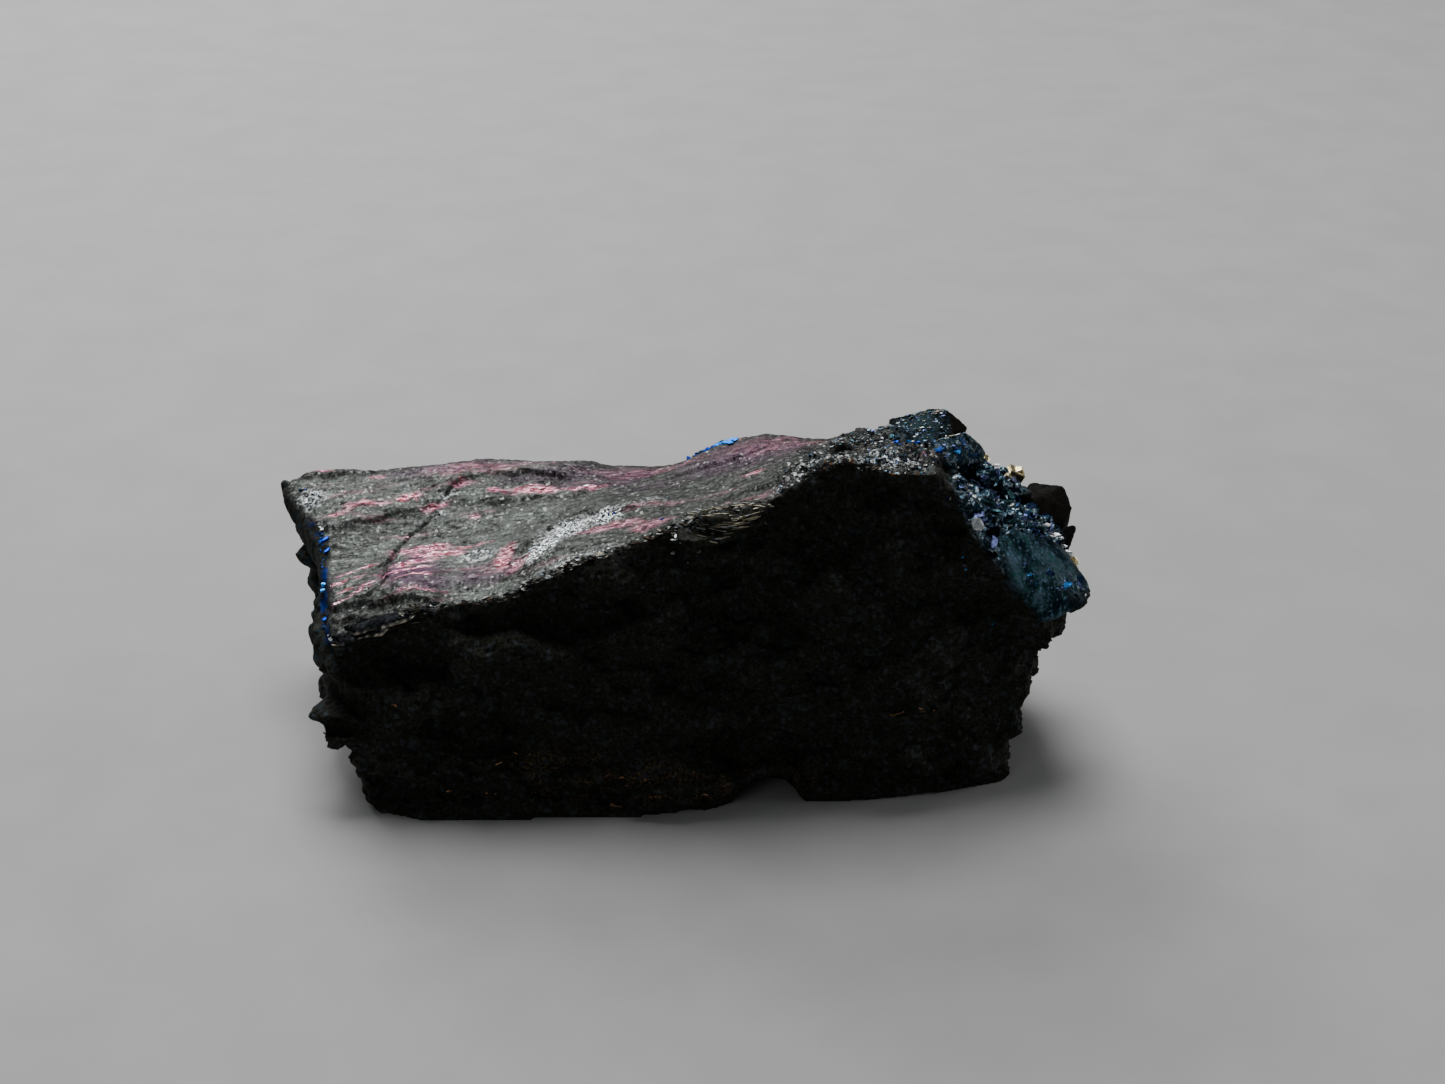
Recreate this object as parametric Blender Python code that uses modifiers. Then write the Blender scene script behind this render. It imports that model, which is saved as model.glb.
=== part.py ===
"""Covellite specimen: a broken slab of massive covellite, with small pyrite grains in its right end.

X runs along the slab, -Y is the dark broken side, and the silky cleavage surface is on top.
Every size below is in millimetres. The last step puts the finished pieces in metres, with the
origin on the ground under the middle of the specimen.
"""

import math
from random import Random

import bmesh
import bpy
from mathutils import Euler, Matrix, Vector, noise
from mathutils.kdtree import KDTree

MM = 0.001
SEED_SHIFT = Vector((31.7, 12.3, 7.9))

# Rails run along the slab from its left end to its right end. Each holds only its corner points.
RAILS = {
    "front foot": (
        (-11.3, -5.5, 0.0), (-9.2, -6.2, 0.0), (-5.8, -6.0, 0.0), (-1.9, -5.8, 0.0),
        (0.9, -5.3, 0.0), (3.2, -4.9, 0.0), (4.6, -5.0, 0.0), (8.1, -4.5, 0.0), (10.9, -3.5, 0.0),
    ),
    "front belly": (
        (-13.2, -5.3, 3.4), (-8.0, -5.8, 3.4), (0.0, -5.6, 3.6), (7.5, -5.1, 3.7), (12.0, -2.8, 3.9),
    ),
    "front shoulder": (
        (-12.3, -4.9, 4.9), (-8.0, -5.4, 6.0), (0.0, -5.2, 8.2), (5.0, -5.1, 9.6),
        (7.4, -5.1, 9.6), (9.4, -4.2, 9.0), (12.2, -2.8, 5.9),
    ),
    "lip": (
        (-12.3, -4.9, 6.5), (-9.6, -4.9, 7.6), (-6.4, -4.9, 8.3), (-4.6, -4.9, 9.2), (-1.5, -4.8, 10.4),
        (-0.2, -4.8, 10.9), (2.3, -4.7, 11.7), (3.3, -4.6, 12.7), (4.2, -4.5, 13.1), (7.5, -4.4, 12.7),
    ),
    "top middle": (
        (-13.4, 0.0, 7.2), (-8.0, 0.0, 8.0), (-4.0, -0.6, 9.2), (-1.0, -0.6, 9.9), (2.5, -0.8, 11.3),
        (5.0, -1.4, 12.5), (8.3, -1.8, 12.2),
    ),
    "rim": (
        (-15.5, 4.6, 7.8), (-14.3, 4.8, 8.4), (-9.2, 4.9, 8.5), (-5.0, 4.8, 8.45), (-1.8, 4.7, 8.55),
        (0.0, 4.2, 9.35), (2.3, 3.4, 10.3), (4.6, 2.8, 10.7), (6.6, 1.6, 11.75), (9.2, 1.0, 11.1),
    ),
    "rear shoulder": (
        (-15.0, 5.5, 5.5), (-5.0, 5.9, 6.3), (2.0, 5.5, 7.0), (8.0, 5.0, 7.8), (11.5, 4.2, 7.4),
    ),
    "rear belly": (
        (-14.2, 5.5, 2.8), (0.0, 6.0, 3.2), (11.9, 4.4, 3.6),
    ),
    "rear foot": (
        (-12.6, 4.9, 0.0), (-4.0, 5.6, 0.0), (4.0, 5.2, 0.0), (10.8, 3.8, 0.0),
    ),
}
# From one rail to the next: how many rows of faces lie between them, and what kind of surface it is.
STRIPS = (
    ("front foot", 17, "fracture"),
    ("front belly", 13, "fracture"),
    ("front shoulder", 18, "fracture"),
    ("lip", 26, "cleavage"),
    ("top middle", 26, "cleavage"),
    ("rim", 16, "fracture"),
    ("rear shoulder", 16, "fracture"),
    ("rear belly", 14, "fracture"),
    ("rear foot", 20, "sole"),
)
COLUMNS = 140
END_RINGS = 18
# Each end bulges to its centre: the higher the power, the blunter the end.
LEFT_END = ((-14.4, 1.5, 4.3), 2.0)
RIGHT_END = ((12.5, 0.4, 6.0), 1.1)

# The slab is a stack of thin sheets that its broken sides cut across.
SHEETS = 13
SHEET_REACH = 0.30
# Its broken sides are also hackly: flat facets of these pitches (along, across, up) and heights.
BIG_FACETS = ((3.2, 3.2, 1.6), 0.27)
SMALL_FACETS = ((1.2, 1.2, 0.65), 0.13)
SWELL_REACH = 0.22
SWELL_PITCH = 4.5
# Near the cleavage surface the broken sides keep close to their edge line.
CALM_EDGE = (0.25, 1.3)

# Torn sheets on the cleavage surface: the rise behind each torn edge, and the edge seen from above.
TORN_EDGES = (
    (0.48, ((-10.6, 2.2), (-9.2, 2.4), (-8.0, 3.4), (-6.9, 3.3), (-5.6, 2.7), (-4.4, 2.9), (-3.2, 4.0))),
    (0.28, ((-9.6, 1.2), (-7.4, 1.9), (-5.4, 2.0), (-3.4, 1.5), (-1.2, 2.6))),
    (0.24, ((-13.4, 2.2), (-11.6, 2.0), (-9.8, 2.6), (-8.8, 3.4))),
    (0.26, ((-6.4, -2.6), (-5.2, -1.9), (-3.6, -1.8), (-2.2, -2.2), (-0.8, -3.4))),
    (0.24, ((-3.0, 0.4), (-0.5, 0.9), (1.8, 0.7), (3.0, 1.6))),
    (0.36, ((-13.2, -3.3), (-11.8, -3.5), (-10.2, -4.0), (-8.4, -4.9))),
)
EDGE_SOFTNESS = 0.10
EDGE_FADE = 0.9
STRIA_REACH = 0.18
STRIA_PITCH = (7.0, 0.7)
FOLD_LINE = ((-9.3, 1.6), (-10.0, 0.6), (-10.5, -0.9), (-10.9, -2.0), (-10.8, -2.8), (-11.6, -4.2))
FOLD_DEPTH = 0.26
FOLD_WIDTH = 0.24
ROUGH_CREST_FROM = 2.2
ROUGH_CREST_TO = 5.0
CREST_FACETS = ((1.2, 0.9, 1.2), 0.26)
CREST_END = (6.2, 7.8)

# Low bosses on the cleavage surface: centre, half length, half width, height.
BOSSES = (
    ((-4.9, -3.4), 1.3, 0.75, 0.40),
    ((-3.1, -3.0), 0.8, 0.6, 0.34),
    ((-7.9, -3.6), 1.2, 0.6, 0.20),
)

# The hollow under the front edge: its middle, reach to the left, to the right and inwards, and height.
FOOT_HOLLOW = ((2.7, -4.9), 1.9, 0.9, 1.7, 1.2)

WELD_SIZE = 0.2
SOLE_PLAY = 0.04
SOLE_PLAY_LEFT = 0.02
MOST_TRIANGLES = 5400
SOCKET_GAP = 0.08


def remove_startup_objects():
    for obj in list(bpy.data.objects):
        bpy.data.objects.remove(obj, do_unlink=True)


def new_collection(name, helper=False):
    collection = bpy.data.collections.new(name)
    bpy.context.scene.collection.children.link(collection)
    collection.hide_render = helper
    return collection


def material(name, colour, roughness, metallic):
    made = bpy.data.materials.new(name)
    made.use_nodes = True
    shader = made.node_tree.nodes["Principled BSDF"]
    shader.inputs["Base Color"].default_value = (*colour, 1.0)
    shader.inputs["Roughness"].default_value = roughness
    shader.inputs["Metallic"].default_value = metallic
    return made


def object_from(bm, name, collection):
    """Puts a bmesh in a new object, with its faces pointing out."""
    bmesh.ops.recalc_face_normals(bm, faces=bm.faces)
    mesh = bpy.data.meshes.new(name)
    bm.to_mesh(mesh)
    bm.free()
    obj = bpy.data.objects.new(name, mesh)
    collection.objects.link(obj)
    return obj


def apply_modifiers(obj):
    """Replaces the object's mesh by what its modifiers make of it."""
    bpy.context.view_layer.update()
    graph = bpy.context.evaluated_depsgraph_get()
    mesh = bpy.data.meshes.new_from_object(obj.evaluated_get(graph))
    obj.modifiers.clear()
    obj.data = mesh


def smoothstep(low, high, value):
    share = min(1.0, max(0.0, (value - low) / (high - low)))
    return share * share * (3 - 2 * share)


def along(knots, share):
    """The point of a rail at a share of its reach in X."""
    x = knots[0][0] + share * (knots[-1][0] - knots[0][0])
    for start, end in zip(knots, knots[1:]):
        if x <= end[0]:
            break
    step = (x - start[0]) / (end[0] - start[0])
    return Vector(start).lerp(Vector(end), step)


def ring_at(share):
    """One closed ring round the slab, with the kind of surface at each of its points."""
    names = list(RAILS)
    points, kinds = [], []
    for i, (name, rows, kind) in enumerate(STRIPS):
        start = along(RAILS[name], share)
        end = along(RAILS[names[(i + 1) % len(names)]], share)
        for row in range(rows):
            points.append(start.lerp(end, row / rows))
            kinds.append(kind)
    return points, kinds


def end_rings(points, centre, power):
    """Rings that close an end of the slab, from its rim in to its centre."""
    middle = Vector(centre)
    for ring in range(1, END_RINGS):
        share = 1 - ring / END_RINGS
        loop = [middle.lerp(point, share) for point in points]
        for new, point in zip(loop, points):
            new.x = middle.x + (point.x - middle.x) * share**power
        yield loop


def distance_to_line(x, y, line):
    """How far a point seen from above is from a line of points, and which side it lies on."""
    here = Vector((x, y))
    nearest, side = math.inf, 1.0
    for start, end in zip(line, line[1:]):
        a, b = Vector(start), Vector(end)
        share = min(1.0, max(0.0, (here - a).dot(b - a) / (b - a).length_squared))
        away = here - a.lerp(b, share)
        if away.length < nearest:
            nearest = away.length
            side = math.copysign(1.0, (b - a).cross(here - a))
    return nearest, side


def slow_noise(point, pitch):
    return noise.fractal((point + SEED_SHIFT) / pitch, 0.8, 2.1, 2)


def facets(point, pitch, reach):
    """Flat facets, each at its own height and leaning its own way."""
    scaled = Vector([where / size for where, size in zip(point + SEED_SHIFT, pitch)])
    centre = noise.voronoi(scaled)[1][0]
    lean = 2 * noise.cell_vector(centre * 9.1) - Vector((1, 1, 1))
    height = 2 * noise.cell(centre * 13.7) - 1
    return reach * (height + lean.dot(scaled - centre))


def sheet_steps(point, height):
    """How far the sheet at this height of a broken side stands out from its neighbours."""
    layer = SHEETS * point.z / height + 0.8 * slow_noise(point, 5.0)
    index = math.floor(layer)
    reach = noise.noise(Vector((point.x * 0.33, point.y * 0.33, index * 5.3)))
    return SHEET_REACH * max(-0.5, min(0.5, reach)) * 2


def fracture_relief(point):
    """Broken sides: stepped sheets, hackly facets and a slow swell."""
    height = 7.5 + 4.8 * smoothstep(-12.0, 4.0, point.x)
    rise = sheet_steps(point, height) + SWELL_REACH * slow_noise(point, SWELL_PITCH)
    return rise + facets(point, *BIG_FACETS) + facets(point, *SMALL_FACETS)


def torn_edge_rise(x, y, warp):
    """How far the torn sheets lift the cleavage surface at a point seen from above."""
    rise = 0.0
    for height, line in TORN_EDGES:
        away, side = distance_to_line(x, y + warp, line)
        ends = smoothstep(line[0][0], line[0][0] + EDGE_FADE, x)
        ends *= 1 - smoothstep(line[-1][0] - EDGE_FADE, line[-1][0], x)
        back = 1 - smoothstep(0.6, 2.4, away)
        step = smoothstep(-EDGE_SOFTNESS, EDGE_SOFTNESS, side * away)
        rise += height * ends * step * back
    return rise


def cleavage_relief(point):
    """The top: torn sheets, fine lines along the slab, low bosses, a fold and a rough crest."""
    x, y = point.x, point.y
    warp = 0.22 * noise.noise(Vector((x * 1.3, y * 1.3, 3.1)))
    rise = torn_edge_rise(x, y, warp)
    for (cx, cy), half_x, half_y, height in BOSSES:
        away = math.hypot((x - cx) / half_x, (y - cy) / half_y)
        rise += height * (1 - smoothstep(0.45, 1.0, away + 0.4 * warp))
    away, _ = distance_to_line(x + warp, y, FOLD_LINE)
    rise -= FOLD_DEPTH * (1 - smoothstep(0.0, FOLD_WIDTH, away))
    rise += STRIA_REACH * noise.noise(Vector((x / STRIA_PITCH[0], (y + 0.4 * warp) / STRIA_PITCH[1], 8.7)))
    crest = smoothstep(ROUGH_CREST_FROM, ROUGH_CREST_TO, x) * (1 - 0.8 * smoothstep(*CREST_END, x))
    return rise + crest * facets(point, *CREST_FACETS) + 0.12 * slow_noise(point, 3.0)


def foot_hollow(point):
    """How far the ground edge is lifted in the hollow under the front."""
    (cx, cy), left, right, inwards, height = FOOT_HOLLOW
    reach = left if point.x < cx else right
    away = math.hypot((point.x - cx) / reach, (point.y - cy) / inwards)
    return height * (1 - smoothstep(0.2, 1.0, away))


def carve(verts, kind_of):
    """Moves the vertices of the slab to give each surface the relief of its kind."""
    top = [vert for vert in verts if kind_of[vert] == "cleavage"]
    tree = KDTree(len(top))
    for i, vert in enumerate(top):
        tree.insert(vert.co, i)
    tree.balance()
    for vert in verts:
        point = vert.co.copy()
        if kind_of[vert] == "cleavage":
            vert.co.z += cleavage_relief(point)
        elif kind_of[vert] == "fracture":
            least, reach = CALM_EDGE
            calm = least + (1 - least) * smoothstep(0.0, reach, tree.find(point)[2])
            vert.co += vert.normal * fracture_relief(point) * calm * smoothstep(0.0, 0.9, point.z)
        vert.co.z += foot_hollow(point) * (1 - smoothstep(0.0, 2.2, point.z))


def slab():
    """The body of the specimen: rings between the rails, closed at both ends, then carved."""
    rings = [ring_at(column / COLUMNS) for column in range(COLUMNS + 1)]
    kinds = rings[0][1]
    left = [(ring, None) for ring in end_rings(rings[0][0], *LEFT_END)]
    right = [(ring, None) for ring in end_rings(rings[-1][0], *RIGHT_END)]
    bm = bmesh.new()
    loops, kind_of = [], {}
    for points, ring_kinds in left[::-1] + rings + right:
        loop = [bm.verts.new(point) for point in points]
        for vert, kind in zip(loop, ring_kinds or ["fracture"] * len(loop)):
            kind_of[vert] = kind
        loops.append(loop)
    for low, high in zip(loops, loops[1:]):
        for i in range(len(kinds)):
            after = (i + 1) % len(kinds)
            bm.faces.new((low[i], low[after], high[after], high[i]))
    for loop, (centre, _) in ((loops[0], LEFT_END), (loops[-1], RIGHT_END)):
        pole = bm.verts.new(centre)
        kind_of[pole] = "fracture"
        for i in range(len(loop)):
            bm.faces.new((loop[i], loop[(i + 1) % len(loop)], pole))
    bmesh.ops.recalc_face_normals(bm, faces=bm.faces)
    bm.normal_update()
    carve(bm.verts, kind_of)
    return bm


def hull(corners, name, collection):
    """A flat-faced crystal or chip: the hull of its corners."""
    bm = bmesh.new()
    for corner in corners:
        bm.verts.new(corner)
    made = bmesh.ops.convex_hull(bm, input=bm.verts)
    inner = [part for part in made["geom_interior"] if isinstance(part, bmesh.types.BMVert)]
    bmesh.ops.delete(bm, geom=inner, context="VERTS")
    return object_from(bm, name, collection)


def flake(name, face, inward, collection, shrink=0.86):
    """A thick flake: its visible face, and the same outline pushed into the slab and drawn in."""
    middle = sum((Vector(corner) for corner in face), Vector()) / len(face)
    back = [middle.lerp(Vector(corner), shrink) + Vector(inward) for corner in face]
    return hull([*face, *back], name, collection)


def plate(name, centre, size, turn, collection):
    """A broken plate with a ragged outline: size is length, width and thickness, turn in degrees."""
    rolls = Random(name)
    outline = []
    for i in range(7):
        angle = math.tau * (i + rolls.uniform(-0.3, 0.3)) / 7
        reach = rolls.uniform(0.36, 0.54)
        outline.append(Vector((size[0] * reach * math.cos(angle), size[1] * reach * math.sin(angle), 0)))
    spin = Euler([math.radians(angle) for angle in turn]).to_matrix()
    half = Vector((0, 0, size[2] / 2))
    corners = [point + half for point in outline] + [0.9 * point - half for point in outline]
    return hull([Vector(centre) + spin @ corner for corner in corners], name, collection)


# Plates that stick out of the sloping right end, from its front edge to the back.
END_PLATES = (
    ((8.1, -3.4, 11.5), (1.9, 1.5, 0.55), (12, 20, 10)),
    ((8.8, -3.5, 10.7), (2.0, 1.5, 0.6), (20, 32, -15)),
    ((9.2, -2.4, 10.7), (1.8, 1.6, 0.5), (-8, 25, 30)),
    ((9.7, -2.5, 9.9), (2.0, 1.5, 0.55), (14, 38, 5)),
    ((10.1, -1.4, 9.8), (1.9, 1.6, 0.6), (-14, 30, -25)),
    ((10.9, -1.2, 9.1), (1.8, 1.5, 0.5), (18, 44, 40)),
    ((11.2, -0.2, 8.9), (2.0, 1.7, 0.6), (-6, 30, 15)),
    ((11.9, -0.3, 8.2), (1.6, 1.4, 0.5), (22, 36, -30)),
    ((9.6, -0.4, 10.6), (1.7, 1.4, 0.5), (-16, 42, 20)),
    ((10.2, 0.6, 9.8), (1.9, 1.6, 0.55), (-20, 30, 0)),
    ((10.9, 1.4, 9.0), (1.8, 1.6, 0.6), (-10, 24, 35)),
    ((9.4, 1.9, 9.9), (2.0, 1.5, 0.5), (-30, 18, -10)),
    ((10.5, 2.7, 8.8), (2.0, 1.5, 0.6), (-36, 22, 12)),
    ((12.2, 3.3, 7.2), (2.2, 1.6, 0.7), (-30, 40, -8)),
    ((12.0, -0.9, 5.1), (2.2, 2.6, 0.4), (5, 10, 8)),
    ((11.9, 1.9, 4.4), (2.2, 2.4, 0.4), (-4, 14, -6)),
    ((11.5, 1.2, 2.4), (2.0, 3.0, 0.45), (3, 6, 4)),
)


def end_crystals(collection):
    """The larger flakes and blocks that break out of the right end."""
    return [
        flake(
            "tip flake",
            ((9.0, -4.2, 10.1), (9.4, -3.3, 10.3), (10.4, -2.4, 9.9), (11.6, -1.4, 9.1), (12.5, -0.9, 8.0),
             (13.1, -1.2, 7.3), (13.6, -2.0, 6.8), (13.2, -2.6, 6.6), (12.2, -3.2, 6.4), (11.7, -3.5, 6.4),
             (10.9, -3.9, 7.8), (9.9, -4.1, 8.9)),
            (-2.4, 1.5, -1.8), collection,
        ),
        flake(
            "peak plate",
            ((6.3, 1.0, 11.9), (7.4, 0.9, 12.2), (8.0, 0.7, 12.5), (8.5, 0.5, 12.55), (9.2, 0.4, 11.95),
             (8.6, -0.3, 11.9), (8.0, -0.7, 11.8), (6.6, -0.6, 11.8)),
            (0.1, 0.9, -1.5), collection,
        ),
        flake(
            "peak knob",
            ((7.9, -1.2, 12.1), (8.6, -0.9, 12.2), (9.1, -0.6, 12.2), (9.5, -0.4, 11.4), (9.6, -0.6, 11.1),
             (8.5, -1.9, 11.5), (8.0, -2.0, 11.8)),
            (-0.4, 1.0, -1.5), collection,
        ),
        hull(
            ((11.8, 2.6, 8.75), (13.0, 2.3, 8.75), (13.2, 1.6, 8.3), (12.8, 1.0, 7.9), (12.1, 0.8, 8.1),
             (11.7, 1.1, 8.75), (10.9, 0.8, 6.4), (12.9, 1.3, 6.3), (13.0, 2.8, 6.3), (11.4, 3.4, 6.2)),
            "shelf block", collection,
        ),
        hull(
            ((12.2, -0.2, 6.0), (13.1, 0.7, 7.1), (13.4, 1.0, 7.9), (12.9, 0.6, 8.0), (12.6, 0.3, 7.7),
             (12.0, 1.4, 6.4)),
            "fin", collection,
        ),
    ]


# Thin sheets that stand out of the broken sides: at the lip, the left end and low on the front.
THIN_SHEETS = (
    ((0.9, -4.95, 11.25), (2.9, 1.5, 0.2), (-3, -5, 3)),
    ((1.2, -5.0, 10.92), (2.3, 1.5, 0.2), (-5, -4, -4)),
    ((0.2, -5.0, 10.5), (2.6, 1.4, 0.2), (-4, -6, 2)),
    ((-12.0, -4.6, 3.62), (2.4, 2.0, 0.35), (0, 4, -20)),
    ((-11.9, -4.8, 2.95), (2.3, 1.8, 0.45), (4, -3, 12)),
    ((-0.8, -5.4, 1.2), (4.2, 1.6, 0.4), (3, -4, 6)),
    ((-7.4, -5.3, 2.3), (3.4, 1.5, 0.35), (0, 3, -4)),
    ((7.3, -4.8, 3.65), (2.6, 1.2, 0.3), (2, 2, 8)),
    ((-4.2, -4.9, 5.6), (3.6, 1.5, 0.35), (-3, -4, 3)),
    ((-9.0, 5.4, 6.6), (3.6, 1.3, 0.35), (2, -2, 0)),
    ((-1.0, 5.6, 3.9), (4.0, 1.4, 0.35), (-2, 3, 2)),
    ((5.5, 5.1, 7.2), (3.2, 1.6, 0.35), (-6, 4, -6)),
    ((-13.9, 2.6, 5.9), (1.7, 2.8, 0.4), (3, 4, 6)),
    ((-13.2, 0.2, 3.0), (1.6, 3.0, 0.4), (-3, -4, -5)),
)


def plates(label, table, collection):
    return [
        plate(f"{label} {i}", centre, size, turn, collection)
        for i, (centre, size, turn) in enumerate(table, start=1)
    ]


def join(body, pieces):
    """Grows the body together with its flakes and crystals, one after another."""
    for piece in pieces:
        grown = body.modifiers.new(piece.name, "BOOLEAN")
        grown.operation = "UNION"
        grown.object = piece
    apply_modifiers(body)


def even_out(body):
    """Gives the carved slab one skin of even faces, without folds that cross each other."""
    even = body.modifiers.new("one skin", "REMESH")
    even.mode = "VOXEL"
    even.voxel_size = WELD_SIZE
    even.adaptivity = 0.0
    apply_modifiers(body)


def level_sole(body, play):
    """Makes the ground face exactly flat: what lies within the play above it comes down to it."""
    for vert in body.data.vertices:
        if vert.co.z < play:
            vert.co.z = 0.0


def thin_out(body, triangles):
    """Lowers the triangle count where the surface is flat enough to spare them."""
    body.data.calc_loop_triangles()
    fewer = body.modifiers.new("fewer triangles", "DECIMATE")
    fewer.use_collapse_triangulate = True
    fewer.ratio = triangles / len(body.data.loop_triangles)
    apply_modifiers(body)


def pyrite_grain(name, centre, sizes, turn, collection, swell=0.0):
    """A pyrite grain of intergrown cubes with cut corners. swell makes the cutter of its socket."""
    corners = []
    for i, size in enumerate(sizes):
        bm = bmesh.new()
        bmesh.ops.create_cube(bm, size=size)
        bmesh.ops.bevel(bm, geom=bm.verts[:], offset=0.22 * size, segments=1, affect="VERTICES")
        bm.transform(Euler((0.5 * i, 0.4 + 0.3 * i, 0.2)).to_matrix().to_4x4())
        bm.transform(Matrix.Translation((0.42 * sizes[0] * i, 0.1 * i, -0.06 * i)))
        corners += [vert.co.copy() for vert in bm.verts]
        bm.free()
    middle = sum(corners, Vector()) / len(corners)
    reach = max((corner - middle).length for corner in corners)
    spin = Euler([math.radians(angle) for angle in turn]).to_matrix()
    grow = 1 + swell / (0.6 * reach)
    placed = [Vector(centre) + spin @ ((corner - middle) * grow) for corner in corners]
    return hull(placed, name, collection)


GRAINS = {
    "pyrite_shelf_grain": ((11.35, 3.0, 8.75), (0.8, 0.6), (10, 20, -18)),
    "pyrite_crest_grain": ((9.95, 2.3, 9.75), (0.6, 0.45), (30, 40, 15)),
    "pyrite_tip_grain": ((13.0, 0.0, 6.9), (0.55, 0.45), (20, -15, 50)),
}


def seat_grains(body, pieces, helpers):
    """Cuts a socket for each pyrite grain and sets the grain in it."""
    grains = []
    for name, (centre, sizes, turn) in GRAINS.items():
        cutter = pyrite_grain(f"{name} socket", centre, sizes, turn, helpers, SOCKET_GAP)
        cutter.display_type = "WIRE"
        cut = body.modifiers.new(cutter.name, "BOOLEAN")
        cut.operation = "DIFFERENCE"
        cut.object = cutter
        grains.append(pyrite_grain(name, centre, sizes, turn, pieces))
    apply_modifiers(body)
    return grains


def stand_on_origin(objects):
    """Moves the pieces over the origin and puts them in metres. Returns the move, in millimetres."""
    corners = [vert.co for obj in objects for vert in obj.data.vertices]
    low = Vector([min(corner[axis] for corner in corners) for axis in range(3)])
    high = Vector([max(corner[axis] for corner in corners) for axis in range(3)])
    move = Vector((-(low.x + high.x) / 2, -(low.y + high.y) / 2, -low.z))
    for obj in objects:
        obj.data.transform(Matrix.Scale(MM, 4) @ Matrix.Translation(move))
    return move


def finish(obj, look):
    obj.data.materials.clear()
    obj.data.materials.append(look)
    obj.data.shade_flat()


def main():
    remove_startup_objects()
    pieces = new_collection("covellite specimen")
    helpers = new_collection("helpers", helper=True)
    body = object_from(slab(), "covellite_block", pieces)
    even_out(body)
    level_sole(body, SOLE_PLAY)
    thin_out(body, MOST_TRIANGLES)
    level_sole(body, SOLE_PLAY_LEFT)
    join(body, end_crystals(helpers))
    join(body, plates("end plate", END_PLATES, helpers) + plates("sheet", THIN_SHEETS, helpers))
    grains = seat_grains(body, pieces, helpers)
    move = stand_on_origin([body, *grains])
    for helper in list(helpers.objects):
        bpy.data.objects.remove(helper, do_unlink=True)
    finish(body, material("covellite", (0.022, 0.024, 0.042), 0.42, 0.75))
    for grain in grains:
        finish(grain, material(grain.name, (0.62, 0.50, 0.26), 0.30, 1.0))
    return move


if __name__ == "__main__":
    main()
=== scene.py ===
"""Looks for the covellite specimen: silky cleavage top, black hackly sides and a sparkling crystal end.

The slab's drawing is in millimetres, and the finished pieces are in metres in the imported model's frame.
"""

import logging
import math
from dataclasses import dataclass, field
from enum import Enum
from random import Random

import bmesh
import bpy
import numpy as np
from mathutils import Euler, Matrix, Vector, noise
from mathutils.bvhtree import BVHTree

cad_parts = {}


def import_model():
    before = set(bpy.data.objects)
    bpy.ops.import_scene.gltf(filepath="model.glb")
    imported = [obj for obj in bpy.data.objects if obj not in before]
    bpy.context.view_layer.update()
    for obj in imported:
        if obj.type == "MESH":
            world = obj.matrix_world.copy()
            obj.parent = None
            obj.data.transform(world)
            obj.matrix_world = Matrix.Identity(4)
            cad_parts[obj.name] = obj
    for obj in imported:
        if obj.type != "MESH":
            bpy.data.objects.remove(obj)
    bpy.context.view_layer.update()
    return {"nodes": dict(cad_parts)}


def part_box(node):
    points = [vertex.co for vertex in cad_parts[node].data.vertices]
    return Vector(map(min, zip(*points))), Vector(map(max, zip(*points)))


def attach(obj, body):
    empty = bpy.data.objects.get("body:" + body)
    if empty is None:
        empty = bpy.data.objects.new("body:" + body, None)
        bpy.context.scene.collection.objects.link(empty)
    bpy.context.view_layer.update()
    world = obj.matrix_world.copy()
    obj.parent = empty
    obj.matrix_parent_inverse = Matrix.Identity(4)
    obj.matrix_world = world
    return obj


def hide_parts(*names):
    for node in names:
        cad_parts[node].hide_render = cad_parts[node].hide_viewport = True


log = logging.getLogger("covellite")

MM = 0.001

# In drawing millimetres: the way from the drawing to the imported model, how close two points count as one,
# and the lowest place of a chip.
DRAWING_MOVE = Vector((0.827, -0.066, 0.0))
SAME_POINT = 0.0005
CLOSE_TO_FLOOR = 0.01

# How often the normals are averaged before the regions are read from them.
CALMING_ROUNDS = 12

# A blur's grid cells for each length of its reach, and how many cells its bell spans to each side.
BELL_STEPS = 4
BELL_SPAN = 16

# Dims the mirror-like edge that a metal finish gets at a flat angle.
METAL_EDGE_TINT = (0.5, 0.5, 0.5, 1.0)

Colour = tuple[float, float, float]
Point = tuple[float, float, float]


def smooth(low: float, high: float, value: np.ndarray) -> np.ndarray:
    """Eases from 0 at low to 1 at high.

    Args:
        low: The value that gives 0.
        high: The value that gives 1. It may be below low.
        value: The values to ease.

    Returns:
        An array of values between 0 and 1.
    """
    share = np.clip((value - low) / (high - low), 0.0, 1.0)
    return share * share * (3 - 2 * share)


def ease(low: float, high: float, value: float) -> float:
    """The same easing as smooth, for one number."""
    share = min(1.0, max(0.0, (value - low) / (high - low)))
    return share * share * (3 - 2 * share)


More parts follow.
